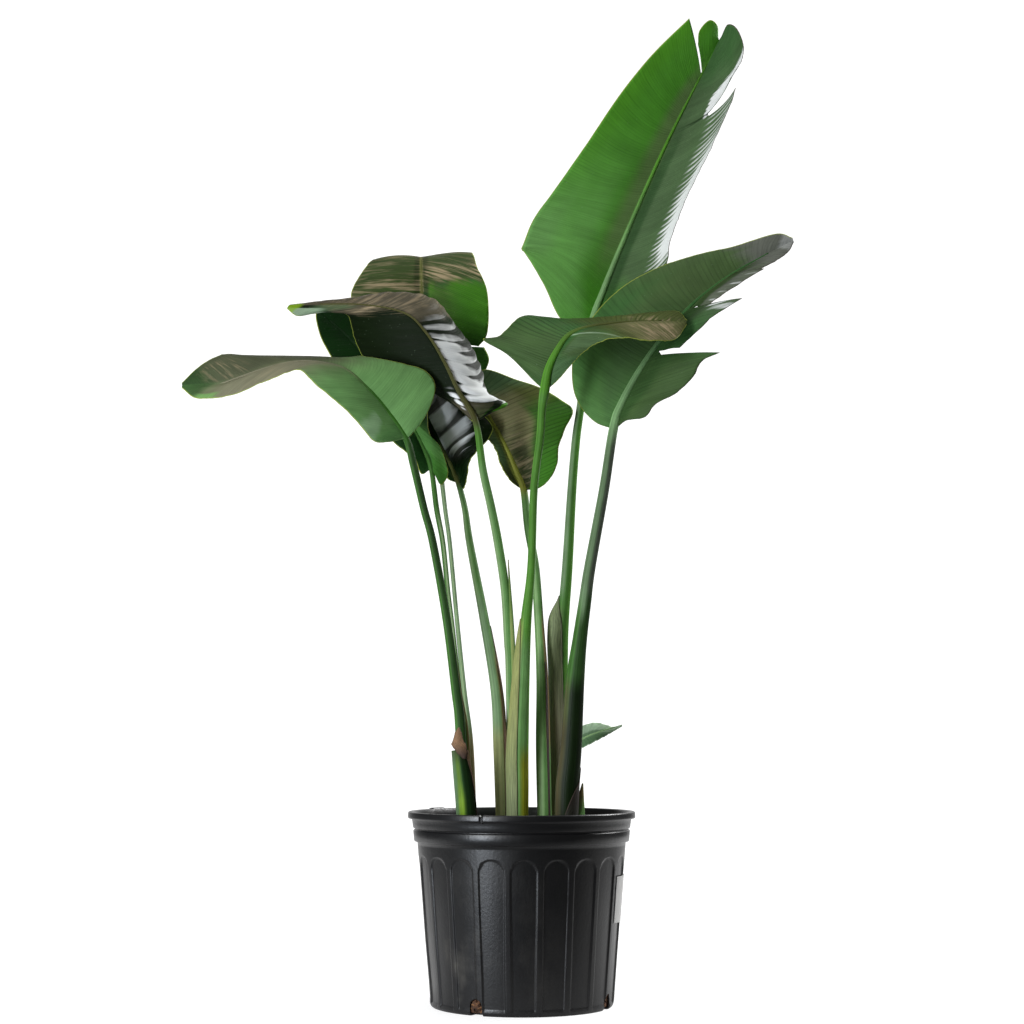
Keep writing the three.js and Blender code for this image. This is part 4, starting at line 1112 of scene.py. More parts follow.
def zone_weight(zone, across, along, seed):
    """How strongly a zone shows at each point, fading at its uneven borders. A border at the
    midrib, the margin or an end of the blade doesn't fade."""
    half, across_from, across_to, along_from, along_to, _, strength, *fades = zone
    fades = fades * 2 if len(fades) == 1 else fades or (None, None)
    share = np.abs(across)
    weight = np.full_like(share, strength)
    if half != "both":
        weight = weight * ((across > 0) if half == "right" else (across <= 0))
    borders = (
        (share, along, across_from, across_to, fades[0]),
        (along, share, along_from, along_to, fades[1]))
    for value, other, low, high, fade in borders:
        low, high = slanted(low, share), slanted(high, share)
        half_fade = (fade or np.clip(FADE_SHARE * (high - low), *FADE_LIMITS)) / 2
        value = value + np.minimum(BORDER_WANDER, BORDER_SHARE * (high - low)) * wander(other * 2, seed)
        rising = smooth_step(low - half_fade, low + half_fade, value)
        falling = smooth_step(high + half_fade, high - half_fade, value)
        weight = weight * np.where(np.asarray(low) > 0, rising, 1)
        weight = weight * np.where(np.asarray(high) < 1, falling, 1)
    return weight


def paint(base, weights, colors):
    """Lays colours over a base colour one after another, each with its weight."""
    tone = np.broadcast_to(base, weights[0].shape + (3,)).copy()
    for weight, color in zip(weights, colors):
        tone += (np.asarray(color) - tone) * weight[..., None]
    return tone


def build_blade(leaf, look, palette, sizes):
    """A leaf's blade, with the values that its material reads at each point."""
    rows = row_shares(leaf, sizes.blade_rows)
    shares = np.linspace(0, 1, sizes.blade_columns + 1)
    grid, across, vein, edge = blade_grid(leaf, look, rows, shares)
    along = np.broadcast_to(rows[:, None], across.shape)
    # The streak and shine zones get weights of their own: dry streaks, and painted white highlights
    weights = {"streak": np.zeros_like(across), "shine": np.zeros_like(across)}
    layers = [(np.zeros_like(across), (0, 0, 0))]
    for k, zone in enumerate(look["zones"]):
        color_name = zone[5]
        weight = zone_weight(zone, across, along, seed_of(leaf["name"], k))
        if color_name in weights:
            weights[color_name] = np.maximum(weights[color_name], weight)
        else:
            layers.append((weight, color_of(palette, color_name)))
    tones = [paint(color_of(palette, look[face]), *zip(*layers)) for face in ("rib_face", "plain_face")]
    left_hem, right_hem = (color_of(palette, name) for name in look.get("hem", PLAIN_HEM))
    hem = paint(left_hem, [(across > 0) * 1.0], [right_hem])
    gloss = [np.full_like(across, value) for value in look["gloss"]]
    if leaf.get("under", 1) < 0:
        tones.reverse()
        gloss.reverse()
    half = sizes.blade_thickness / MM * (MIDRIB_HALF - MARGIN_LOSS * np.abs(across))
    vein_strength, vein_scale = look["veins"]
    on_both_faces = {
        "across": across, "vein": vein * MM / vein_scale, "cell": vein / look["cell"],
        "edge": edge * MM, "hem": hem,
        "veins": np.full_like(across, vein_strength), "vein_scale": np.full_like(across, vein_scale),
        **weights}
    attributes = {key: (value, value) for key, value in on_both_faces.items()}
    return build_sheet(leaf["name"] + "_blade", grid, half, torn_cells(leaf, rows, shares), {
        "tone": tones, "gloss": gloss, **attributes})


# Stalks

RIB_STEPS = 6
RIB_END = 0.9  # the share of the blade's length where the midrib's ridge ends
RIB_FOOT = 0.9  # the midrib's half width at its foot, as a share of the stalk's
RIB_TIP = 1.2
RIB_RISE = 0.4
RIB_FADES = (0.02, 0.1)  # how softly its first and its second colour start
STALK_DEPTH = 0.85
BAND_FADE = 20
BAND_TURN = 15
LINE_STEPS = 400
STREAKS = 8  # scale of the streaks round a stalk


def stalk_path(leaf):
    """The stalk goes on as the midrib, sunk into the blade's underside."""
    rib_line = curve(leaf["rib"])
    half_width = leaf.get("rib_girth", leaf["stalk"][-1][3] * RIB_FOOT)
    places = np.arange(RIB_STEPS + 1) / RIB_STEPS * RIB_END
    across = unit(margin_points(leaf["right"], places) - margin_points(leaf["left"], places))
    normal = unit(np.cross(across, heading(rib_line, places)))
    radius = RIB_TIP + (half_width - RIB_TIP) * (1 - places / RIB_END) ** leaf.get("rib_taper", 1)
    centres = rib_line(places) + normal * (leaf.get("under", 1) * radius * RIB_RISE)[:, None]
    return [list(p) for p in leaf["stalk"]] + [[*centre, r] for centre, r in zip(centres, radius)]


def stalk_frame(path, shares):
    """The middle, the rightward and the forward direction, and the half width along a stalk."""
    line = curve([p[:3] for p in path])
    centre = line(shares)
    along = heading(line, shares)
    side = unit(np.cross(along, np.array([0.0, -1.0, 0.0])))
    forward = np.cross(side, along)
    girth = curve([[p[3]] for p in path])(shares)[:, 0]
    return centre, side, forward, girth


def stalk_point(path, height, degrees, lift):
    """A point on a stalk's skin, at a height and an angle, lifted off by some millimetres."""
    shares = np.linspace(0, 1, LINE_STEPS)
    line = curve([p[:3] for p in path])(shares)
    share = np.interp(height, line[:, 2], shares)
    centre, side, forward, girth = (v[0] for v in stalk_frame(path, np.array([share])))
    angle = math.radians(degrees)
    return (centre + side * math.cos(angle) * (girth + lift)
            + forward * math.sin(angle) * (girth * STALK_DEPTH + lift))


def band_weight(band, height, degrees):
    """How strongly a band shows at each point of a stalk."""
    bottom, top, start, end, _, strength = band
    rising = smooth_step(bottom - BAND_FADE, bottom + BAND_FADE, height)
    weight = strength * rising * smooth_step(top + BAND_FADE, top - BAND_FADE, height)
    if end - start < 360:
        middle = (start + end) / 2
        half = (end - start) / 2
        off = np.abs((degrees - middle + 180) % 360 - 180)
        weight = weight * smooth_step(half + BAND_TURN, half - BAND_TURN, off)
    return weight


def build_stalk(name, path, color, bands, palette, steps, sides, rib=None, blade_from=None):
    """A stalk with its bands. Where it goes on as a midrib, rib holds the colours from
    blade_from on, which is the share of the path where the blade starts."""
    shares = np.linspace(0, 1, steps + 1)
    centre, side, forward, girth = stalk_frame(path, shares)
    angles = np.arange(sides) / sides * 2 * np.pi
    rings = (centre[:, None] + side[:, None] * (np.cos(angles) * girth[:, None])[..., None]
             + forward[:, None] * (np.sin(angles) * girth[:, None] * STALK_DEPTH)[..., None])
    height = np.broadcast_to(centre[:, None, 2], rings.shape[:2])
    degrees = np.broadcast_to(np.degrees(angles)[None], rings.shape[:2])
    layers = [(np.zeros_like(height), (0, 0, 0))]
    for band in bands:
        layers.append((band_weight(band, height, degrees), color_of(palette, band[4])))
    if rib is not None:
        near, far, change = rib
        place = np.broadcast_to(shares[:, None], rings.shape[:2])
        change = blade_from + (1 - blade_from) * change
        for start, fade, color_name in zip((blade_from, change), RIB_FADES, (near, far)):
            layers.append((smooth_step(start - fade, start + fade, place), color_of(palette, color_name)))
    tone = paint(color_of(palette, color), *zip(*layers))
    run = np.concatenate([[0], np.cumsum(np.linalg.norm(np.diff(centre, axis=0), axis=1))])
    return build_loft(name, rings, {
        "tone": tone,
        "around": np.broadcast_to((angles * STREAKS)[None], rings.shape[:2]),
        "run": np.broadcast_to(run[:, None] * MM, rings.shape[:2]),
    })


# Sizes and colours that a user may change


def tint(name, description, red, green, blue):
    """A colour setting. Its default is given from 0 to 255."""
    return FloatVectorProperty(
        name=name, description=description, default=srgb(red, green, blue), size=3, subtype="COLOR",
        min=0, max=1)


def measure(name, description, default, low, high, unit="LENGTH"):
    return FloatProperty(
        name=name, description=description, default=default, min=low, max=high, unit=unit)


def tally(name, description, default, low, high):
    return IntProperty(name=name, description=description, default=default, min=low, max=high)


class PlantPalette(bpy.types.PropertyGroup):
    """Colours of the leaves, the stalks, the pot and its soil."""

    leaf_bright: tint("Bright leaf", "Sunlit green of the tall leaf", 77, 143, 44)
    leaf_vivid: tint("Vivid leaf", "Yellowish green near a margin", 74, 140, 22)
    leaf_light: tint("Light leaf", "Soft light green", 110, 168, 86)
    leaf_fresh: tint("Fresh leaf", "Light matt green", 98, 140, 82)
    # Also laid as painted highlight on some stalks and blades
    leaf_pale: tint("Pale leaf", "Whitish green of a young leaf", 166, 192, 160)
    leaf_mid: tint("Middle leaf", "Usual green of a grown leaf", 54, 96, 48)
    leaf_dull: tint("Dull leaf", "Greyish green of an underside", 78, 108, 70)
    leaf_deep: tint("Deep leaf", "Dark green beside a midrib", 34, 68, 30)
    leaf_night: tint("Shaded leaf", "Saturated dark green", 2, 34, 0)
    leaf_black: tint("Blackish leaf", "Very dark green of a shaded blade", 12, 24, 6)
    grey_green: tint("Grey green", "Greyish green of a blade's turned half", 78, 104, 68)
    # Painted shade beside the tall leaf's midrib
    grey_warm: tint("Warm grey green", "Painted shade beside a midrib", 108, 124, 84)
    # Painted reflection on a glossy blade
    leaf_umber: tint("Umber leaf", "Dark greyish brown of a faded blade", 68, 72, 54)
    leaf_drab: tint("Drab leaf", "Olive grey of a drooping blade", 74, 90, 54)
    leaf_moss: tint("Moss leaf", "Dark saturated green", 48, 92, 26)
    # Also laid as painted grey sheen on the inner leaf
    slate: tint("Slate", "Purplish grey of a blade's far end", 102, 102, 98)
    olive: tint("Olive", "Brownish green", 84, 92, 48)
    # Painted reflection: the brown sheen that an older blade throws back
    bronze: tint("Bronze", "Brown sheen on an old blade", 124, 122, 84)
    tan: tint("Tan", "Light streaks on an old blade", 176, 158, 126)
    # Painted reflection: the grey brown that a glossy upper surface throws back
    mauve: tint("Mauve", "Grey brown of an upper surface", 92, 86, 70)
    margin: tint("Margin", "Thin yellowish edge of a blade", 150, 164, 72)
    rib_pale: tint("Pale midrib", "Midrib of a bright leaf", 150, 186, 128)
    rib_gold: tint("Golden midrib", "Yellow olive midrib", 124, 128, 50)
    rib_olive: tint("Olive midrib", "Midrib of a dark leaf", 104, 108, 58)
    rib_dark: tint("Dark midrib", "Midrib of a blackish leaf", 74, 74, 38)
    rib_soft: tint("Soft midrib", "Greyish green midrib of a bright leaf", 122, 160, 108)
    # Painted reflection on a blade's far end and its midrib
    rib_grey: tint("Grey midrib", "Painted grey reflection on a blade's far end and its midrib", 128, 126, 104)
    # Also laid as painted light at the foot of a shaded stalk
    rib_edge: tint("Midrib edge", "Pale line beside a midrib", 168, 170, 112)
    leaf_brown: tint("Brownish leaf", "Dark brownish green", 66, 78, 42)
    lime: tint("Lime", "Yellow green stripe of a young shoot", 126, 164, 26)
    stalk_fresh: tint("Fresh stalk", "Light green of a stalk", 94, 136, 76)
    # Painted highlight colour for the lit side of a stalk
    stalk_pale: tint("Pale stalk", "Whitish green of a thin stalk", 148, 170, 126)
    stalk_mid: tint("Middle stalk", "Usual green of a stalk", 68, 112, 48)
    # Also laid as painted shade on the right side of some stalks
    stalk_deep: tint("Deep stalk", "Dark green of a thick stalk", 40, 68, 30)
    stalk_bright: tint("Bright stalk", "Saturated green of a stalk", 82, 138, 42)
    stalk_vivid: tint("Vivid stalk", "Vivid green on a stalk's sunny side", 74, 126, 38)
    # Also laid as painted light on the left side of some stalks
    stalk_grey: tint("Grey stalk", "Greyish green of a stalk", 108, 134, 98)
    sheath_tan: tint("Tan sheath", "Yellowish tan of a stalk's foot", 140, 146, 84)
    sheath_brown: tint("Brown sheath", "Greyish brown of an old sheath", 122, 110, 90)
    sheath_black: tint("Black sheath", "Nearly black dead sheath", 34, 26, 15)
    sheath_gold: tint("Golden sheath", "Olive yellow of a stalk's foot", 128, 130, 16)
    sheath_olive: tint("Olive sheath", "Grey olive of a stalk's foot", 110, 122, 84)
    purple: tint("Purple tint", "Purplish brown at a stalk's foot", 88, 70, 58)
    dry_brown: tint("Dry brown", "Dark brown of a dead margin", 52, 34, 24)
    dry_pale: tint("Dry pale", "Light brown of a dead margin", 128, 96, 66)
    hem_dark: tint("Dark margin", "Thin dark edge of a glossy blade", 84, 78, 66)
    # Painted highlight colour, laid where a glossy blade throws back light
    gloss_white: tint("White gloss", "Light thrown back by a glossy blade", 232, 235, 235)
    pot_black: tint("Pot black", "Plastic of the pot", 14, 14, 15)
    pot_dust: tint("Pot dust", "Dust and scuffs on the pot", 104, 100, 92)
    soil_dark: tint("Dark soil", "Moist peat", 34, 24, 17)
    soil_brown: tint("Brown soil", "Bark", 86, 54, 32)
    soil_tan: tint("Tan fibre", "Light fibres in the bark", 168, 118, 66)
    label_white: tint("Sticker white", "Blank sticker", 168, 168, 166)


class LeafSizes(bpy.types.PropertyGroup):
    """Sizes of the blades and the stalks."""

    blade_thickness: measure(
        "Blade thickness", "Thickness of a blade at its midrib", 0.0012, 0.0004, 0.003)
    blade_rows: tally("Blade rows", "Steps along a blade", 170, 20, 400)
    blade_columns: tally("Blade columns", "Steps from the midrib to a margin", 22, 4, 60)
    vein_pitch: measure("Vein pitch", "Space between a blade's fine side veins", 0.0055, 0.001, 0.02)
    vein_depth: measure("Vein depth", "Height of the fine side veins", 0.0006, 0, 0.003)
    stalk_steps: tally("Stalk steps", "Steps along a stalk", 150, 16, 400)
    stalk_sides: tally("Stalk sides", "Sides of a stalk's section", 28, 8, 64)


class PotSizes(bpy.types.PropertyGroup):
    """Sizes of the pot, and how many bark chips lie in it."""

    rim_radius: measure("Rim radius", "Outer radius of the lip", POT_BOX[1].x, 0.05, 0.5)
    height: measure("Height", "Height of the pot", POT_BOX[1].z, 0.05, 1)
    flute_depth: measure("Flute depth", "Depth of the recessed flutes", 0.0022, 0, 0.006)
    flute_steps: tally("Flute steps", "Steps across half a flute", 12, 8, 20)
    chips: tally("Bark chips", "Loose chips on the soil", 420, 0, 2000)


class StudioSettings(bpy.types.PropertyGroup):
    """Lights, paper and camera."""

    paper: tint("Paper", "Colour of the floor and the backdrop", 150, 150, 150)
    key_power: measure("Key light", "Power of the soft light at the front left", 72, 0, 5000, "POWER")
    strip_power: measure("Strip light", "Power of the low strip at the front left", 9, 0, 5000, "POWER")
    rim_power: measure("Rim light", "Power of the light at the back right", 110, 0, 5000, "POWER")
    top_power: measure("Top light", "Power of the light above", 25, 0, 5000, "POWER")
    glow: measure("Paper glow", "Strength of the light through the paper", 0.8, 0, 5, "NONE")
    room: measure("Room light", "Strength of the light from all round", 0.1, 0, 5, "NONE")
    camera_distance: measure("Camera distance", "Distance from the pot's axis", 3.213, 0.5, 20)
    camera_height: measure("Camera height", "Height above the floor", 0.423, 0, 5)
    camera_pitch: measure(
        "Camera pitch", "Upward tilt of the camera", math.radians(6.15), -1.5, 1.5, "ROTATION")
    lens: measure("Lens", "Focal length in millimetres on a 36 mm wide frame", 71.4, 10, 300, "NONE")


# Operators, one for each piece or group of like pieces


def dress(piece, material, slot, *nodes):
    """Gives a piece its material and its body, and hides the nodes that it stands for. slot is not used."""
    piece.data.materials.append(material)
    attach(piece, BODY)
    if nodes:
        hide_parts(*nodes)


class PLANT_OT_leaves(bpy.types.Operator):
    """Builds every leaf: its blade with torn margins, and its stalk and midrib"""

    bl_idname = "plant.leaves"
    bl_label = "Leaves"

    BLADE_START = 0.15  # how far below the midrib's foot its colour starts, in spans of the path

    def execute(self, context):
        scene = context.scene
        blade = blade_material(scene.plant_palette, scene.plant_leaves)
        stalk = stalk_material()
        for leaf in LEAVES:
            self.build_leaf(leaf, blade, stalk, scene.plant_palette, scene.plant_leaves)
        return {"FINISHED"}

    def build_leaf(self, leaf, blade, stalk, palette, sizes):
        name = leaf["name"]
        look = BLADE_LOOKS[name]
        color, bands = STALK_LOOKS[name]
        path = stalk_path(leaf)
        blade_from = (len(leaf["stalk"]) - self.BLADE_START) / (len(path) - 1)
        dress(build_blade(leaf, look, palette, sizes), blade, "leaf_green", name)
        piece = build_stalk(
            name + "_stalk", path, color, bands, palette, sizes.stalk_steps, sizes.stalk_sides,
            rib=look["rib"], blade_from=blade_from)
        dress(piece, stalk, "stalk_green", name)


class PLANT_OT_shoots(bpy.types.Operator):
    """Builds the cut base of an old leaf with its dry scrap, and the two young shoots"""

    bl_idname = "plant.shoots"
    bl_label = "Shoots"

    SCRAP_ROWS = [
        ((-88, -58, 380), 3), ((-92, -59, 390), 8), ((-96, -59, 399), 11), ((-98, -58, 405), 9.5),
        ((-98, -56, 416), 6), ((-98, -55, 422), 4), ((-97, -54, 428), 1.2)]
    SCRAP_HALF = 0.6
    SCRAP_BEND = 3
    SCRAP_STEPS = (40, 17)
    RAGGED = 0.14
    SHOOT_STEPS = 60

    def execute(self, context):
        palette = context.scene.plant_palette
        sizes = context.scene.plant_leaves
        stalk = stalk_material()
        for name, shoot in SHOOTS.items():
            piece = build_stalk(
                name + "_skin", shoot["path"], shoot["color"], shoot["bands"], palette,
                self.SHOOT_STEPS, sizes.stalk_sides)
            dress(piece, stalk, "stalk_green", name)
        dress(self.build_scrap(palette), dry_material(palette), "dry_leaf", "cut_stub_scrap")
        return {"FINISHED"}

    def build_scrap(self, palette):
        middle = curve([row[0] for row in self.SCRAP_ROWS])
        half = curve([[row[1]] for row in self.SCRAP_ROWS])
        rows = np.linspace(0, 1, self.SCRAP_STEPS[0])
        across = np.linspace(-1, 1, self.SCRAP_STEPS[1])
        ragged = 1 + self.RAGGED * wander(rows * 3, 7)
        width = (half(rows)[:, 0] * ragged)[:, None] * across
        grid = middle(rows)[:, None] + np.stack(
            [width, self.SCRAP_BEND * across**2 + 0 * width, 0 * width], axis=-1)
        pale, dark = color_of(palette, "dry_pale"), color_of(palette, "dry_brown")
        return build_dry_sheet("cut_stub_flap", grid, self.SCRAP_HALF, pale, dark)


def build_dry_sheet(name, grid, half, color, foot_color):
    """A dry sheet whose colour changes from its foot to its top."""
    rows, columns = grid.shape[:2]
    across = np.broadcast_to(np.linspace(-1, 1, columns), (rows, columns))
    run = np.broadcast_to(np.linspace(0, 1, rows)[:, None], (rows, columns))
    width = np.linalg.norm(grid[:, -1] - grid[:, 0], axis=1)[:, None] / 2
    edge = (1 - np.abs(across)) * width * MM
    tone = paint(foot_color, [smooth_step(0, 0.5, run)], [color])
    return build_sheet(name, grid, half, None, {
        "tone": (tone, tone), "across": (across, across), "run": (run, run), "edge": (edge, edge)})


class PLANT_OT_sheaths(bpy.types.Operator):
    """Builds the old sheaths and dead margins that wrap some stalks"""

    bl_idname = "plant.sheaths"
    bl_label = "Sheaths"

    ROWS = 90
    COLUMNS = 25
    HALF = 0.45

    def execute(self, context):
        palette = context.scene.plant_palette
        dry = dry_material(palette)
        paths = {leaf["name"]: stalk_path(leaf) for leaf in LEAVES}
        paths.update({name: shoot["path"] for name, shoot in SHOOTS.items()})
        for sheath in SHEATHS:
            dress(self.build_sheath(sheath, paths[sheath["stalk"]], palette), dry, "dry_leaf")
        return {"FINISHED"}

    def build_sheath(self, sheath, path, palette):
        outline = curve(sheath["rows"])(np.linspace(0, 1, self.ROWS))
        grid = np.zeros((self.ROWS, self.COLUMNS, 3))
        for r, (height, start, end, first_lift, last_lift) in enumerate(outline):
            for c in range(self.COLUMNS):
                share = c / (self.COLUMNS - 1)
                lift = first_lift + (last_lift - first_lift) * share
                grid[r, c] = stalk_point(path, height, start + (end - start) * share, lift)
        color, foot_color = (color_of(palette, sheath[key]) for key in ("color", "foot"))
        return build_dry_sheet(sheath["name"], grid, self.HALF, color, foot_color)


# The pot's wall, which the sticker follows
WALL_TOP = 252
WALL_TOP_RADIUS = 162.8
WALL_FOOT = 10
WALL_FOOT_RADIUS = 143.5


def wall_radius(z):
    """The radius of the pot's outside at a height."""
    share = (z - WALL_FOOT) / (WALL_TOP - WALL_FOOT)
    return WALL_FOOT_RADIUS + share * (WALL_TOP_RADIUS - WALL_FOOT_RADIUS)


class PLANT_OT_pot(bpy.types.Operator):
    """Builds the moulded pot with its lip, bands, flutes and drain holes"""

    bl_idname = "plant.pot"
    bl_label = "Pot"

    WALL = 3.6
    FLOOR = 4
    WALL_HEIGHTS = (
        *np.linspace(10, 30, 11), *np.linspace(38, 198, 21), *np.linspace(204, 236, 44), 240, 246, 252)
    FOOT_ROWS = 8  # rings of the profile below the wall, from the wall to the lip, and after it
    BAND_ROWS = 15
    INSIDE_ROWS = 14
    FLUTE_COUNT = 20
    FLUTE_FIRST = 1  # degrees round the pot, from its front towards its right
    FLUTE_WIDTH = 41
    FLUTE_TOP = 232
    FLUTE_BOTTOM = 14
    FLUTE_TAPER = 2.5
    FLUTE_BEVEL = (-0.4, 1.7)
    SIDE_STEPS = 5  # directions across a flute's side, from its inner to its outer share
    SIDE_SHARES = (0.965, 0.98)
    MIDDLE_SHARE = 0.94
    MIDDLE_SPACING = 1.6
    DENT = 288
    DENT_DEPTH = 1.2
    DENT_REACH = 0.5  # in radians
    DENT_TOP = (110, 30)
    DENT_FOOT = (2, 20)
    NICK = 339.7
    NICK_WIDTH = 0.9
    NICK_DEPTH = 2.2
    TAB = 232
    TAB_WIDTH = 6
    TAB_EDGES = (0.7, 0.85, 1)
    TAB_HEIGHT = 1.8
    DRAINS = (-29, 66, 151, 246)
    DRAIN_WIDTH = 22
    DRAIN_HEIGHT = 25
    CUTTER_REACH = 20  # how far a cutter reaches to both sides of the wall, and down
    CUTTER_FOOT = -5
    ARCH_STEPS = 17

    def execute(self, context):
        pot = build_loft("pot_shell", self.rings(context.scene.plant_pot))
        self.cut_drains(pot)
        dress(pot, pot_material(context.scene.plant_palette), "pot_plastic", "pot")
        return {"FINISHED"}

    def profile(self, sizes):
        """The pot's section as (radius, height), from the middle of its underside, up its
        outside, over the lip and down its inside."""
        rim = sizes.rim_radius / MM
        top = sizes.height / MM
        foot = [(12, 0), (60, 0), (110, 0), (137, 0), (139, 0.2), (140.4, 1.2), (141.5, 3), (142.6, 6)]
        wall = [(wall_radius(z), z) for z in self.WALL_HEIGHTS]
        lower_band = [
            (165, 252.1), (167, 252.4), (168, 253.4), (168.7, 261), (169.4, 268.4), (168.9, 269.4)]
        groove = [(167.8, 270), (167.2, 270.8), (167.2, 271.6), (167.9, 272.4)]
        upper_band = [(169.2, 273), (169.8, 274.2), (170.6, 280), (171.4, 285.8), (171.9, 286.9)]
        lip = [
            (175.4, 287.4), (rim - 0.8, 287.8), (rim - 0.1, 288.8), (rim, 290), (rim - 0.2, 296),
            (rim - 0.6, top - 0.8), (rim - 1.8, top), (rim - 6, top), (rim - 8.4, top - 0.3),
            (rim - 9.4, top - 1.4)]
        inner = wall_radius(WALL_TOP) - self.WALL
        inside = [(inner + 7.6, 286), (inner + 6.6, 274), (inner + 3, 262), (inner, WALL_TOP)]
        inside += [(wall_radius(z) - self.WALL, z) for z in (200, 140, 80, 40, 20, 8, self.FLOOR + 1)]
        floor = [(radius, self.FLOOR) for radius in (wall_radius(self.FLOOR) - self.WALL - 1, 100, 12)]
        return foot + wall + lower_band + groove + upper_band + lip + inside + floor

    def rings(self, sizes):
        """The rings of the pot's skin, with its flutes, its dent, and the lip's nick and tab."""
        profile = np.array(self.profile(sizes))
        wall_rows = slice(self.FOOT_ROWS, self.FOOT_ROWS + len(self.WALL_HEIGHTS))
        angles = self.angles(sizes.flute_steps)
        radius = np.broadcast_to(profile[:, :1], (len(profile), len(angles))).copy()
        height = np.broadcast_to(profile[:, 1:], radius.shape).copy()
        depth = self.flute_share(angles, profile[wall_rows]) * sizes.flute_depth / MM
        radius[wall_rows] -= depth
        z = profile[:, 1:]
        dent = self.DENT_DEPTH * smooth_step(self.DENT_REACH, 0, np.abs(angles - math.radians(self.DENT)))
        dent = dent * smooth_step(*self.DENT_TOP, z) * smooth_step(*self.DENT_FOOT, z)
        row = np.arange(len(profile))[:, None]
        radius -= dent * (row < wall_rows.stop)
        lip_row = wall_rows.stop + self.BAND_ROWS
        in_lip = (row >= lip_row) & (row < len(profile) - self.INSIDE_ROWS)
        nick = smooth_step(self.NICK_WIDTH, 0, self.turned_from(angles, self.NICK)) * in_lip
        radius -= self.NICK_DEPTH * nick
        height -= self.NICK_DEPTH * nick
        tab_edge = self.TAB_EDGES[0] * self.TAB_WIDTH
        tab = smooth_step(self.TAB_WIDTH, tab_edge, self.turned_from(angles, self.TAB))
        height += self.TAB_HEIGHT * tab * (in_lip & (row > lip_row))
        return np.stack([np.sin(angles) * radius, -np.cos(angles) * radius, height], axis=-1)

    def turned_from(self, angles, degrees):
        """How many degrees each direction is turned from another."""
        return np.abs((np.degrees(angles) - degrees + 180) % 360 - 180)

    def angles(self, steps):
        """Directions round the pot, closer together at the sides of every flute."""
        edge = self.FLUTE_WIDTH / 2 / WALL_TOP_RADIUS
        half_space = math.pi / self.FLUTE_COUNT
        middle = np.linspace(1, 0, steps - self.SIDE_STEPS + 1)
        inner = edge * (1 - middle**self.MIDDLE_SPACING) * self.MIDDLE_SHARE
        first, last = self.SIDE_SHARES
        outer = np.linspace(edge * first, half_space * last, self.SIDE_STEPS)
        half = np.concatenate([inner, outer])
        one = np.concatenate([-half[:0:-1], half])
        flutes = np.arange(self.FLUTE_COUNT) * 2 * half_space + math.radians(self.FLUTE_FIRST)
        nick = [self.NICK + k * self.NICK_WIDTH / 3 for k in range(-3, 4)]
        tab = [self.TAB + side * share * self.TAB_WIDTH for side in (-1, 1) for share in self.TAB_EDGES]
        extra = np.radians(nick + tab)
        return np.unique(np.round(np.concatenate([(flutes[:, None] + one).ravel(), extra]) % (2 * np.pi), 5))

    def flute_share(self, angles, wall):
        """1 in the middle of a flute and 0 on the wall between, at each ring and angle."""
        spacing = 2 * np.pi / self.FLUTE_COUNT
        off = (angles - math.radians(self.FLUTE_FIRST) + spacing / 2) % spacing - spacing / 2
        sideways = np.abs(off[None] * wall[:, :1])
        z = wall[:, 1:]
        half = self.FLUTE_WIDTH / 2
        arch_middle = self.FLUTE_TOP - half
        straight = half - self.FLUTE_TAPER * smooth_step(arch_middle, self.FLUTE_BOTTOM, z)
        inside = np.where(z > arch_middle, half - np.hypot(sideways, z - arch_middle), straight - sideways)
        return smooth_step(*self.FLUTE_BEVEL, inside)

    def cut_drains(self, pot):
        """Cuts the round-topped drain holes at the foot of the wall."""
        half = self.DRAIN_WIDTH / 2
        arch = [(half * math.cos(a), self.DRAIN_HEIGHT - half + half * math.sin(a))
                for a in np.linspace(0, math.pi, self.ARCH_STEPS)]
        outline = [(half, self.CUTTER_FOOT)] + arch + [(-half, self.CUTTER_FOOT)]
        reach = (WALL_FOOT_RADIUS - self.CUTTER_REACH, WALL_FOOT_RADIUS + self.CUTTER_REACH)
        cutters = []
        for degrees in self.DRAINS:
            angle = math.radians(degrees)
            out = np.array([math.sin(angle), -math.cos(angle), 0])
            right = np.array([math.cos(angle), math.sin(angle), 0])
            rings = [[out * radius + right * x + (0, 0, z) for x, z in outline] for radius in reach]
            cutters.append(build_loft("drain_cutter", np.array(rings)))
        for cutter in cutters:
            cut = pot.modifiers.new("Drain", "BOOLEAN")
            cut.operation = "DIFFERENCE"
            cut.solver = "EXACT"
            cut.object = cutter
        apply_modifiers(pot)
        for cutter in cutters:
            bpy.data.objects.remove(cutter)


def apply_modifiers(piece):
    """Gives a piece the mesh that its modifiers make, and removes them."""
    graph = bpy.context.evaluated_depsgraph_get()
    mesh = bpy.data.meshes.new_from_object(piece.evaluated_get(graph))
    piece.modifiers.clear()
    old = piece.data
    piece.data = mesh
    bpy.data.meshes.remove(old)


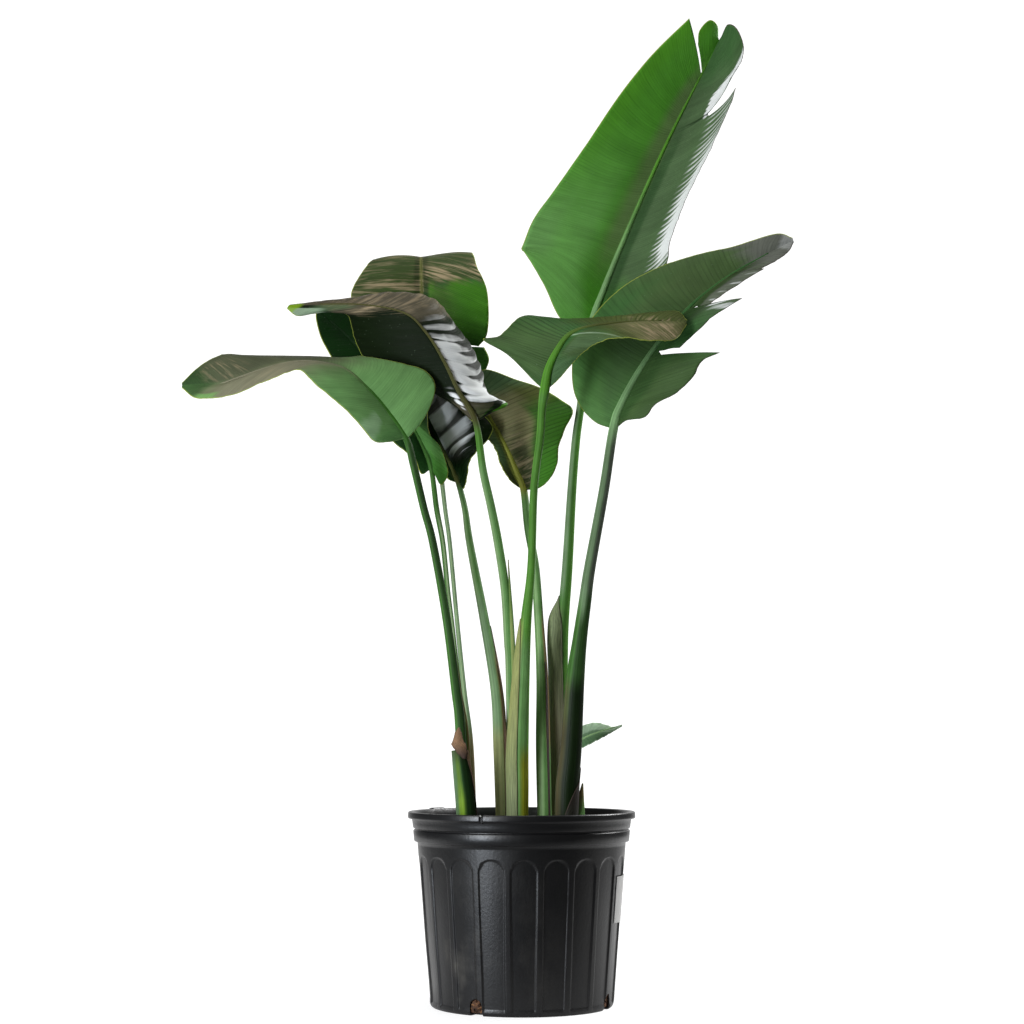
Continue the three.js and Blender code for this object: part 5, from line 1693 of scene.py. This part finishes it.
class PLANT_OT_soil(bpy.types.Operator):
    """Builds the bark mix in the pot, with loose chips on its top and at the drain holes"""

    bl_idname = "plant.soil"
    bl_label = "Soil"

    TOP = 270
    FLOOR = 4.4
    TOP_RADIUS = 154.8
    FOOT_RADIUS = 137.4
    SKIRT = 6  # how far below its top the soil is lumpy too
    SIDES = 96
    RINGS = 40
    CHIP_LENGTH = (5, 16)
    CHIP_WIDTH = (0.3, 0.7)  # shares of a chip's length
    CHIP_DEPTH = (0.12, 0.3)
    CHIP_JITTER = 0.25
    CHIP_TILT = 0.4
    CHIP_MARGIN = 6  # how far the chips on top keep from the wall
    CHIP_LIFT = 1
    DRAIN_CHIPS = 14
    DRAIN_TURN = 3.4  # degrees to both sides of a drain hole's middle
    DRAIN_DEPTHS = (-3, 1)  # from the soil's foot radius
    DRAIN_LEVELS = (6, 24)
    DRAIN_TILT = 1.5

    def execute(self, context):
        palette = context.scene.plant_palette
        material = soil_material(palette)
        dress(self.build_bed(), material, "bark_mix", "soil")
        dress(self.build_chips(context.scene.plant_pot.chips), material, "bark_mix", "soil")
        return {"FINISHED"}

    def lump(self, x, y):
        """How high the uneven top of the soil stands at a place, from made-up waves."""
        return (3 * np.sin(x * 0.06 + 1) * np.cos(y * 0.07) + 1.5 * np.sin(x * 0.13 - y * 0.11)
                + 0.8 * np.sin(x * 0.31 + 2) * np.sin(y * 0.27))

    def build_bed(self):
        angles = np.arange(self.SIDES) / self.SIDES * 2 * np.pi
        levels = [(self.FLOOR, r) for r in (20, 90, self.FOOT_RADIUS)]
        levels += [(z, self.FOOT_RADIUS + (self.TOP_RADIUS - self.FOOT_RADIUS) * z / self.TOP)
                   for z in np.linspace(8, self.TOP - self.SKIRT, self.RINGS)]
        levels += [(self.TOP, r) for r in np.linspace(self.TOP_RADIUS, 4, self.RINGS)]
        rings = []
        for z, radius in levels:
            x, y = np.sin(angles) * radius, -np.cos(angles) * radius
            height = z + self.lump(x, y) * (z >= self.TOP - self.SKIRT)
            rings.append(np.stack([x, y, height], axis=-1))
        return build_loft("soil_bed", np.array(rings))

    def build_chips(self, count):
        """Flat bark chips lying on the soil, and some behind each drain hole."""
        rng = np.random.default_rng(11)
        shape = np.array([
            (-1, -0.5, -0.4), (-0.6, 0.6, -0.5), (0.9, 0.5, -0.4), (1, -0.5, -0.5),
            (-0.9, -0.4, 0.4), (-0.7, 0.5, 0.3), (0.7, 0.6, 0.5), (0.9, -0.6, 0.3)])
        sides = [(0, 1, 2, 3), (7, 6, 5, 4), (0, 4, 5, 1), (1, 5, 6, 2), (2, 6, 7, 3), (3, 7, 4, 0)]
        places = [self.top_place(rng) for _ in range(count)]
        for degrees in PLANT_OT_pot.DRAINS:
            places += [self.drain_place(rng, degrees) for _ in range(self.DRAIN_CHIPS)]
        positions, faces = [], []
        for place, (tilt, roll) in places:
            length = rng.uniform(*self.CHIP_LENGTH) / 2
            width, depth = (length * rng.uniform(*shares) for shares in (self.CHIP_WIDTH, self.CHIP_DEPTH))
            scale = np.array([length, width, depth])
            points = (shape + rng.uniform(-self.CHIP_JITTER, self.CHIP_JITTER, shape.shape)) * scale
            points = points @ turn(rng.uniform(0, 6.3), tilt, roll).T + place
            first = len(positions) * len(shape)
            positions.append(points)
            faces += [tuple(first + k for k in side) for side in sides]
        return build_mesh("soil_chips", np.concatenate(positions), faces, smooth=False)

    def top_place(self, rng):
        """A place on the soil's top, and the tilt and roll of the chip that lies there."""
        radius = (self.TOP_RADIUS - self.CHIP_MARGIN) * math.sqrt(rng.uniform())
        angle = rng.uniform(0, 2 * math.pi)
        x, y = math.sin(angle) * radius, -math.cos(angle) * radius
        place = (x, y, self.TOP + float(self.lump(x, y)) + self.CHIP_LIFT)
        return place, rng.uniform(-self.CHIP_TILT, self.CHIP_TILT, 2)

    def drain_place(self, rng, degrees):
        """A place behind a drain hole, and the tilt and roll of the chip that shows there."""
        angle = math.radians(degrees + rng.uniform(-self.DRAIN_TURN, self.DRAIN_TURN))
        radius = self.FOOT_RADIUS + rng.uniform(*self.DRAIN_DEPTHS)
        place = (math.sin(angle) * radius, -math.cos(angle) * radius, rng.uniform(*self.DRAIN_LEVELS))
        return place, rng.uniform(-self.DRAIN_TILT, self.DRAIN_TILT, 2)


def turn(about, tilt, roll):
    """A turning matrix: about +Z, then tipped and rolled."""
    c, s = math.cos(about), math.sin(about)
    spin = np.array([[c, -s, 0], [s, c, 0], [0, 0, 1]])
    c, s = math.cos(tilt), math.sin(tilt)
    tip = np.array([[1, 0, 0], [0, c, -s], [0, s, c]])
    c, s = math.cos(roll), math.sin(roll)
    over = np.array([[c, 0, s], [0, 1, 0], [-s, 0, c]])
    return spin @ tip @ over


class PLANT_OT_label(bpy.types.Operator):
    """Builds the blank sticker on the pot's right side"""

    bl_idname = "plant.label"
    bl_label = "Sticker"

    FROM = 66
    TO = 100
    BOTTOM = 130
    TOP = 201
    LIFT = 0.55
    HALF = 0.2
    WRINKLE = 0.12
    WRINKLE_ROUND = 40
    WRINKLE_UP = 0.09
    ROWS = 30
    COLUMNS = 60

    def execute(self, context):
        angles = np.radians(np.linspace(self.FROM, self.TO, self.COLUMNS))
        levels = np.linspace(self.BOTTOM, self.TOP, self.ROWS)
        height = levels[:, None] + 0 * angles
        wrinkle = (
            self.WRINKLE * np.sin(angles * self.WRINKLE_ROUND) * np.sin(height * self.WRINKLE_UP))
        radius = (wall_radius(levels) + self.LIFT)[:, None] + wrinkle
        grid = np.stack([np.sin(angles) * radius, -np.cos(angles) * radius, height], axis=-1)
        label = build_sheet("pot_sticker", grid, self.HALF)
        dress(label, label_material(context.scene.plant_palette), "label_paper", "pot_label")
        return {"FINISHED"}


class PLANT_OT_stage(bpy.types.Operator):
    """Sets the pale floor and backdrop, the soft studio lights and the camera"""

    bl_idname = "plant.stage"
    bl_label = "Studio"

    FLOOR_FRONT = -5.0
    FLOOR_BACK = 2.6
    BEND_RADIUS = 1.2
    WALL_HEIGHT = 4.5
    HALF_WIDTH = 4.5
    FLOOR_STEPS = 30
    BEND_STEPS = 16
    COLUMNS = 9
    SENSOR_WIDTH = 36
    CAMERA_SIDE = -0.015
    WHITE = (1.0, 1.0, 1.0)
    COOL = (0.82, 0.9, 1.0)

    # Each light's name, its place, the point it faces, its width and height, its colour, and
    # the setting that holds its power
    LIGHTS = [
        ("Key light", (-2.0, -2.3, 1.35), (0, 0, 0.8), (1.3, 2.4), WHITE, "key_power"),
        ("Strip light", (-0.86, -1.0, 0.3), (0, 0, 0.22), (0.22, 0.56), COOL, "strip_power"),
        ("Rim light", (2.1, 1.1, 2.2), (0.1, 0, 1.0), (1.0, 1.0), WHITE, "rim_power"),
        ("Top light", (-0.3, -0.3, 3.4), (0, 0, 0.8), (2.0, 2.0), WHITE, "top_power"),
    ]

    def execute(self, context):
        studio = context.scene.plant_studio
        self.add_paper(studio)
        for light in self.LIGHTS:
            self.add_light(studio, *light)
        self.add_room(context.scene, studio)
        self.add_camera(context.scene, studio)
        context.scene.view_settings.view_transform = "Standard"
        return {"FINISHED"}

    def add_paper(self, studio):
        """One sheet of paper: a flat floor that bends up into the backdrop."""
        section = [(y, 0.0) for y in np.linspace(self.FLOOR_FRONT, self.FLOOR_BACK, self.FLOOR_STEPS)]
        for angle in np.linspace(0, math.pi / 2, self.BEND_STEPS)[1:]:
            section.append((self.FLOOR_BACK + self.BEND_RADIUS * math.sin(angle),
                            self.BEND_RADIUS * (1 - math.cos(angle))))
        section.append((self.FLOOR_BACK + self.BEND_RADIUS, self.WALL_HEIGHT))
        count = self.COLUMNS
        columns = np.linspace(-self.HALF_WIDTH, self.HALF_WIDTH, count)
        positions = [(x / MM, y / MM, z / MM) for y, z in section for x in columns]
        corners = [r * count + c for r in range(len(section) - 1) for c in range(count - 1)]
        faces = [(k, k + 1, k + count + 1, k + count) for k in corners]
        paper = build_mesh("studio_paper", positions, faces)
        paper.data.materials.append(studio_material(tuple(studio.paper), studio.glow))

    def add_light(self, studio, name, place, aim, size, color, power):
        light = bpy.data.lights.new(name, "AREA")
        light.color = color
        light.shape = "RECTANGLE"
        light.size, light.size_y = size
        light.energy = getattr(studio, power)
        lamp = bpy.data.objects.new(name, light)
        lamp.location = place
        lamp.rotation_euler = (Vector(aim) - Vector(place)).to_track_quat("-Z", "Y").to_euler()
        bpy.context.scene.collection.objects.link(lamp)

    def add_room(self, scene, studio):
        """A room that the camera sees as white and that lights the plant only a little."""
        world = bpy.data.worlds.new("Studio room")
        world.use_nodes = True
        background = world.node_tree.nodes["Background"]
        background.inputs["Color"].default_value = (1, 1, 1, 1)
        seen = world.node_tree.nodes.new("ShaderNodeLightPath")
        strength = world.node_tree.nodes.new("ShaderNodeMapRange")
        strength.inputs["To Min"].default_value = studio.room
        world.node_tree.links.new(seen.outputs["Is Camera Ray"], strength.inputs["Value"])
        world.node_tree.links.new(strength.outputs[0], background.inputs["Strength"])
        scene.world = world

    def add_camera(self, scene, studio):
        camera = bpy.data.cameras.new("Camera")
        camera.sensor_width = self.SENSOR_WIDTH
        camera.lens = studio.lens
        camera.clip_end = 50
        eye = bpy.data.objects.new("Camera", camera)
        eye.location = (self.CAMERA_SIDE, -studio.camera_distance, studio.camera_height)
        eye.rotation_euler = (math.pi / 2 + studio.camera_pitch, 0, 0)
        scene.collection.objects.link(eye)
        scene.camera = eye


class PLANT_PT_panel(bpy.types.Panel):
    """Lists the plant's operators and settings"""

    bl_idname = "PLANT_PT_panel"
    bl_label = "Potted bird of paradise"
    bl_space_type = "VIEW_3D"
    bl_region_type = "UI"
    bl_category = "Plant"

    def draw(self, context):
        for operator in OPERATORS:
            self.layout.operator(operator.bl_idname)
        for key, group in SETTINGS.items():
            box = self.layout.box()
            settings = getattr(context.scene, key)
            for name in group.__annotations__:
                box.prop(settings, name)


OPERATORS = [
    PLANT_OT_stage, PLANT_OT_pot, PLANT_OT_label, PLANT_OT_soil, PLANT_OT_leaves, PLANT_OT_sheaths,
    PLANT_OT_shoots]
SETTINGS = {
    "plant_palette": PlantPalette, "plant_leaves": LeafSizes, "plant_pot": PotSizes,
    "plant_studio": StudioSettings}


def register():
    for group in SETTINGS.values():
        bpy.utils.register_class(group)
    for key, group in SETTINGS.items():
        setattr(bpy.types.Scene, key, PointerProperty(type=group))
    for operator in OPERATORS:
        bpy.utils.register_class(operator)
    bpy.utils.register_class(PLANT_PT_panel)


def unregister():
    bpy.utils.unregister_class(PLANT_PT_panel)
    for operator in reversed(OPERATORS):
        bpy.utils.unregister_class(operator)
    for key in SETTINGS:
        delattr(bpy.types.Scene, key)
    for group in reversed(SETTINGS.values()):
        bpy.utils.unregister_class(group)


def main():
    register()
    for operator in OPERATORS:
        group, name = operator.bl_idname.split(".")
        getattr(getattr(bpy.ops, group), name)()


if __name__ == "__main__":
    main()
